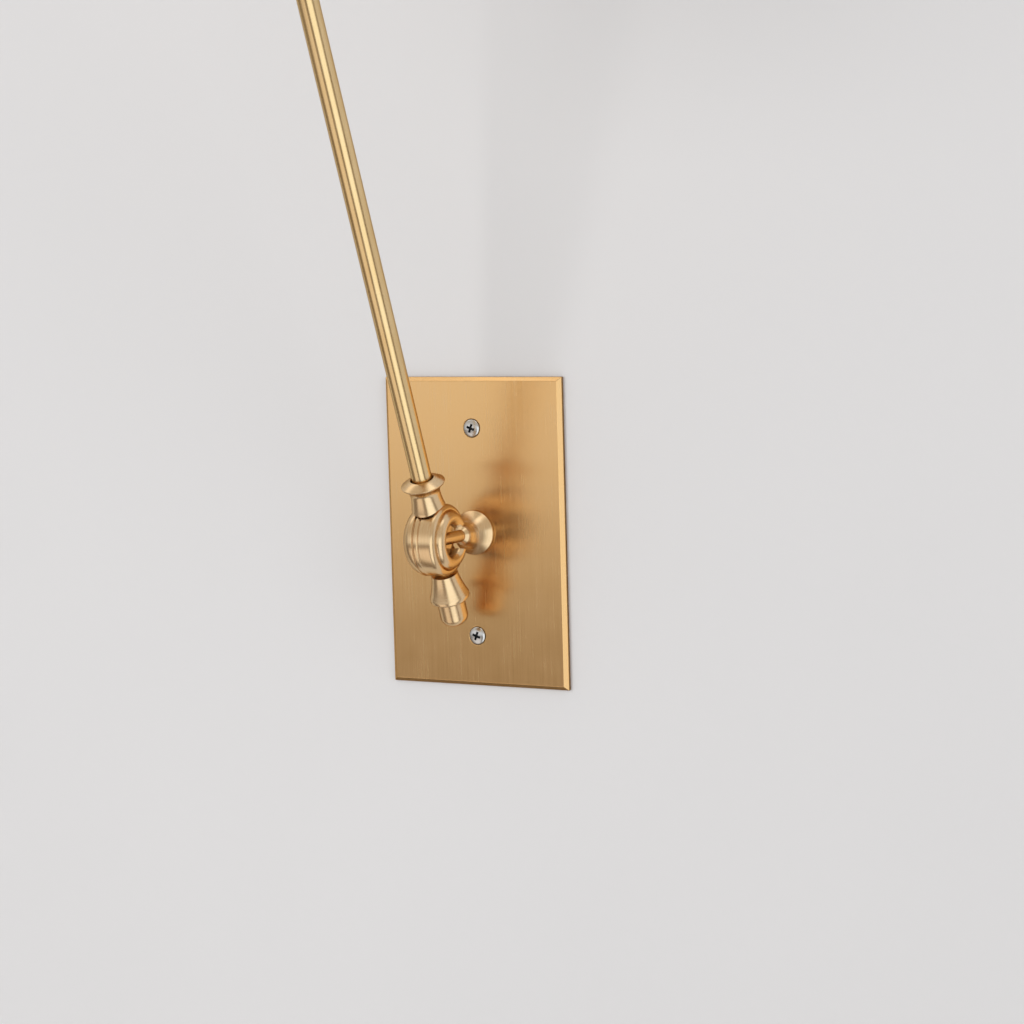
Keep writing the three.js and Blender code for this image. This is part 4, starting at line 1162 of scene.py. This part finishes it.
def makeStage():
    square = ((-1, -1), (1, -1), (1, 1), (-1, 1))
    reach, drop, lap = studio["reach"], -studio["floorDrop"], studio["holeLap"]
    holeX, holeZ = plate["width"] / 2 - lap, plate["height"] / 2 - lap
    wall = [(x * wide, gap, z * high) for wide, high in ((reach, reach), (holeX, holeZ)) for x, z in square]
    wallFaces = [(k, (k + 1) % 4, (k + 1) % 4 + 4, k + 4) for k in range(4)]
    floor = [(x * reach, y * reach, drop) for x, y in square]
    for name, corners, faces in (("wall", wall, wallFaces), ("floor", floor, [(0, 1, 2, 3)])):
        mesh = bpy.data.meshes.new(name)
        mesh.from_pydata([Vector(c) * mm for c in corners], [], faces)
        piece = addObject("stage_" + name, mesh)
        material, tree, shader = startMaterial("stage_" + name)
        low, high = (tuple(c * share for c in studio[name]) for share in (0.985, 1.015))
        colour = rampIn(tree, cloudsIn(tree, 3.0, 3.0, 0.5), [(0.3, low), (0.7, high)])
        setIn(tree, shader, Base_Color=colour, Roughness=0.9, Specular_IOR_Level=0.1)
        if name == "wall":
            # seen from behind, and for light, the wall isn't there
            behind = nodeIn(tree, "ShaderNodeNewGeometry").outputs["Backfacing"]
            shadow = nodeIn(tree, "ShaderNodeLightPath").outputs["Is Shadow Ray"]
            clear = nodeIn(tree, "ShaderNodeBsdfTransparent").outputs["BSDF"]
            either = mathIn(tree, "MAXIMUM", behind, shadow)
            surface = shadersIn(tree, either, shader.outputs["BSDF"], clear)
            setIn(tree, tree.nodes["Material Output"], Surface=surface)
        piece.data.materials.append(material)


def makeWorld():
    world = bpy.data.worlds.new("studio")
    scene.world = world
    world.use_nodes = True
    tree = world.node_tree
    tree.nodes.clear()
    seen = nodeIn(tree, "ShaderNodeBackground", Color=(*studio["background"], 1), Strength=1.0)
    fill = nodeIn(tree, "ShaderNodeBackground", Color=(*studio["fillColour"], 1), Strength=studio["fill"])
    path = nodeIn(tree, "ShaderNodeLightPath").outputs
    direct = mathIn(tree, "MAXIMUM", path["Is Camera Ray"], path["Is Glossy Ray"])
    direct = mathIn(tree, "MAXIMUM", direct, path["Is Transmission Ray"])
    surface = shadersIn(tree, direct, fill.outputs["Background"], seen.outputs["Background"])
    nodeIn(tree, "ShaderNodeOutputWorld", Surface=surface)


lamps = {
    "key": {"from": (-620, -1800, 300), "size": (900, 900), "power": 11.5, "colour": (1.0, 0.985, 0.96)},
    "side": {"from": (1300, -900, 500), "size": (500, 900), "power": 3.0, "colour": (0.96, 0.98, 1.0)},
    "back": {"from": (-700, 1400, 700), "size": (900, 900), "power": 9.0, "colour": (1.0, 0.99, 0.97)},
}


def makeLamp(name, look):
    data = bpy.data.lights.new(name, "AREA")
    data.shape = "RECTANGLE"
    data.size, data.size_y = look["size"][0] * mm, look["size"][1] * mm
    data.energy = look["power"]
    data.color = look["colour"]
    made = bpy.data.objects.new(name, data)
    scene.collection.objects.link(made)
    made.visible_glossy = False
    made.location = Vector(look["from"]) * mm
    aim = (cadLow + cadHigh) / 2 - made.location
    made.rotation_euler = aim.to_track_quat("-Z", "Y").to_euler()


# the room in front of the wall, which only shiny pieces see: a dark floor, a ceiling, a bright front
# and windows; "at" and "width" are degrees, heights are parts of the radius
room = {
    "radius": 1250.0,
    "lower": (0.26, 0.22, 0.185),
    "side": (0.34, 0.32, 0.29),
    "front": (0.98, 0.96, 0.93),
    "ceiling": (0.60, 0.54, 0.46),
    "frontAt": -20.0,
    "frontWidth": 64.0,
    "frontCore": 0.25,
    "horizon": (-0.24, -0.02),
    "ceilingFrom": (0.06, 0.42),
    "windowCore": 0.6,
    "windowFade": 0.2,
    "windows": (
        {"at": 46.0, "width": 32.0, "low": -0.98, "high": 0.30, "light": (1.30, 1.34, 1.34)},
        {"at": -28.0, "width": 32.0, "low": -0.98, "high": -0.22, "light": (0.95, 0.86, 0.78)},
        {"at": 72.0, "width": 62.0, "low": 0.76, "high": 1.40, "light": (1.60, 1.56, 1.48)},
        {"at": -86.0, "width": 24.0, "low": 0.50, "high": 1.40, "light": (1.40, 1.32, 1.20)},
    ),
}


def roomShell(across=48, up=28):
    mesh = bpy.data.meshes.new("stage_room")
    quarter = 89.5  # degrees; a little less than a right angle keeps the edges clear of the wall
    corners = []
    for i in range(up + 1):
        tilt = math.radians(-quarter + 2 * quarter * i / up)
        for k in range(across + 1):
            side = math.radians(-quarter + 2 * quarter * k / across)
            spot = (math.cos(tilt) * math.sin(side), -math.cos(tilt) * math.cos(side), math.sin(tilt))
            corners.append(Vector(spot) * room["radius"] * mm)
    lows = [i * (across + 1) + k for i in range(up) for k in range(across)]
    faces = [(low, low + 1, low + across + 2, low + across + 1) for low in lows]
    mesh.from_pydata(corners, [], faces)
    return addObject("stage_room", mesh)


def makeRoom():
    piece = roomShell()
    material = bpy.data.materials.new("stage_room")
    material.use_nodes = True
    tree = material.node_tree
    tree.nodes.clear()
    place = nodeIn(tree, "ShaderNodeTexCoord").outputs["Object"]
    unit = nodeIn(tree, "ShaderNodeVectorMath", operation="NORMALIZE")
    tree.links.new(place, unit.inputs[0])
    x, y, height = nodeIn(tree, "ShaderNodeSeparateXYZ", Vector=unit.outputs["Vector"]).outputs
    toward = mathIn(tree, "MULTIPLY", y, -1.0)
    heading = mathIn(tree, "MULTIPLY", mathIn(tree, "ARCTAN2", x, toward), 180 / math.pi)

    def within(middle, width, core):
        off = mathIn(tree, "ABSOLUTE", mathIn(tree, "SUBTRACT", heading, middle))
        return stepIn(tree, off, width, width * core)

    ahead = within(room["frontAt"], room["frontWidth"], room["frontCore"])
    colour = mixIn(tree, ahead, room["side"], room["front"])
    colour = mixIn(tree, stepIn(tree, height, *room["horizon"]), room["lower"], colour)
    colour = mixIn(tree, stepIn(tree, height, *room["ceilingFrom"]), colour, room["ceiling"])
    for window in room["windows"]:
        low, high, fade = window["low"], window["high"], room["windowFade"]
        inside = within(window["at"], window["width"], room["windowCore"])
        inside = mathIn(tree, "MULTIPLY", inside, stepIn(tree, height, low, low + fade))
        inside = mathIn(tree, "MULTIPLY", inside, stepIn(tree, height, high, high - fade))
        colour = mixIn(tree, inside, colour, window["light"])
    glow = nodeIn(tree, "ShaderNodeEmission", Color=colour)
    nodeIn(tree, "ShaderNodeOutputMaterial", Surface=glow.outputs["Emission"])
    piece.data.materials.append(material)
    piece.visible_camera = piece.visible_diffuse = piece.visible_shadow = False
    piece.visible_transmission = False


makeStage()
makeWorld()
for name, look in lamps.items():
    makeLamp(name, look)
makeRoom()
scene.view_settings.view_transform = "Standard"
print("stage and light made")
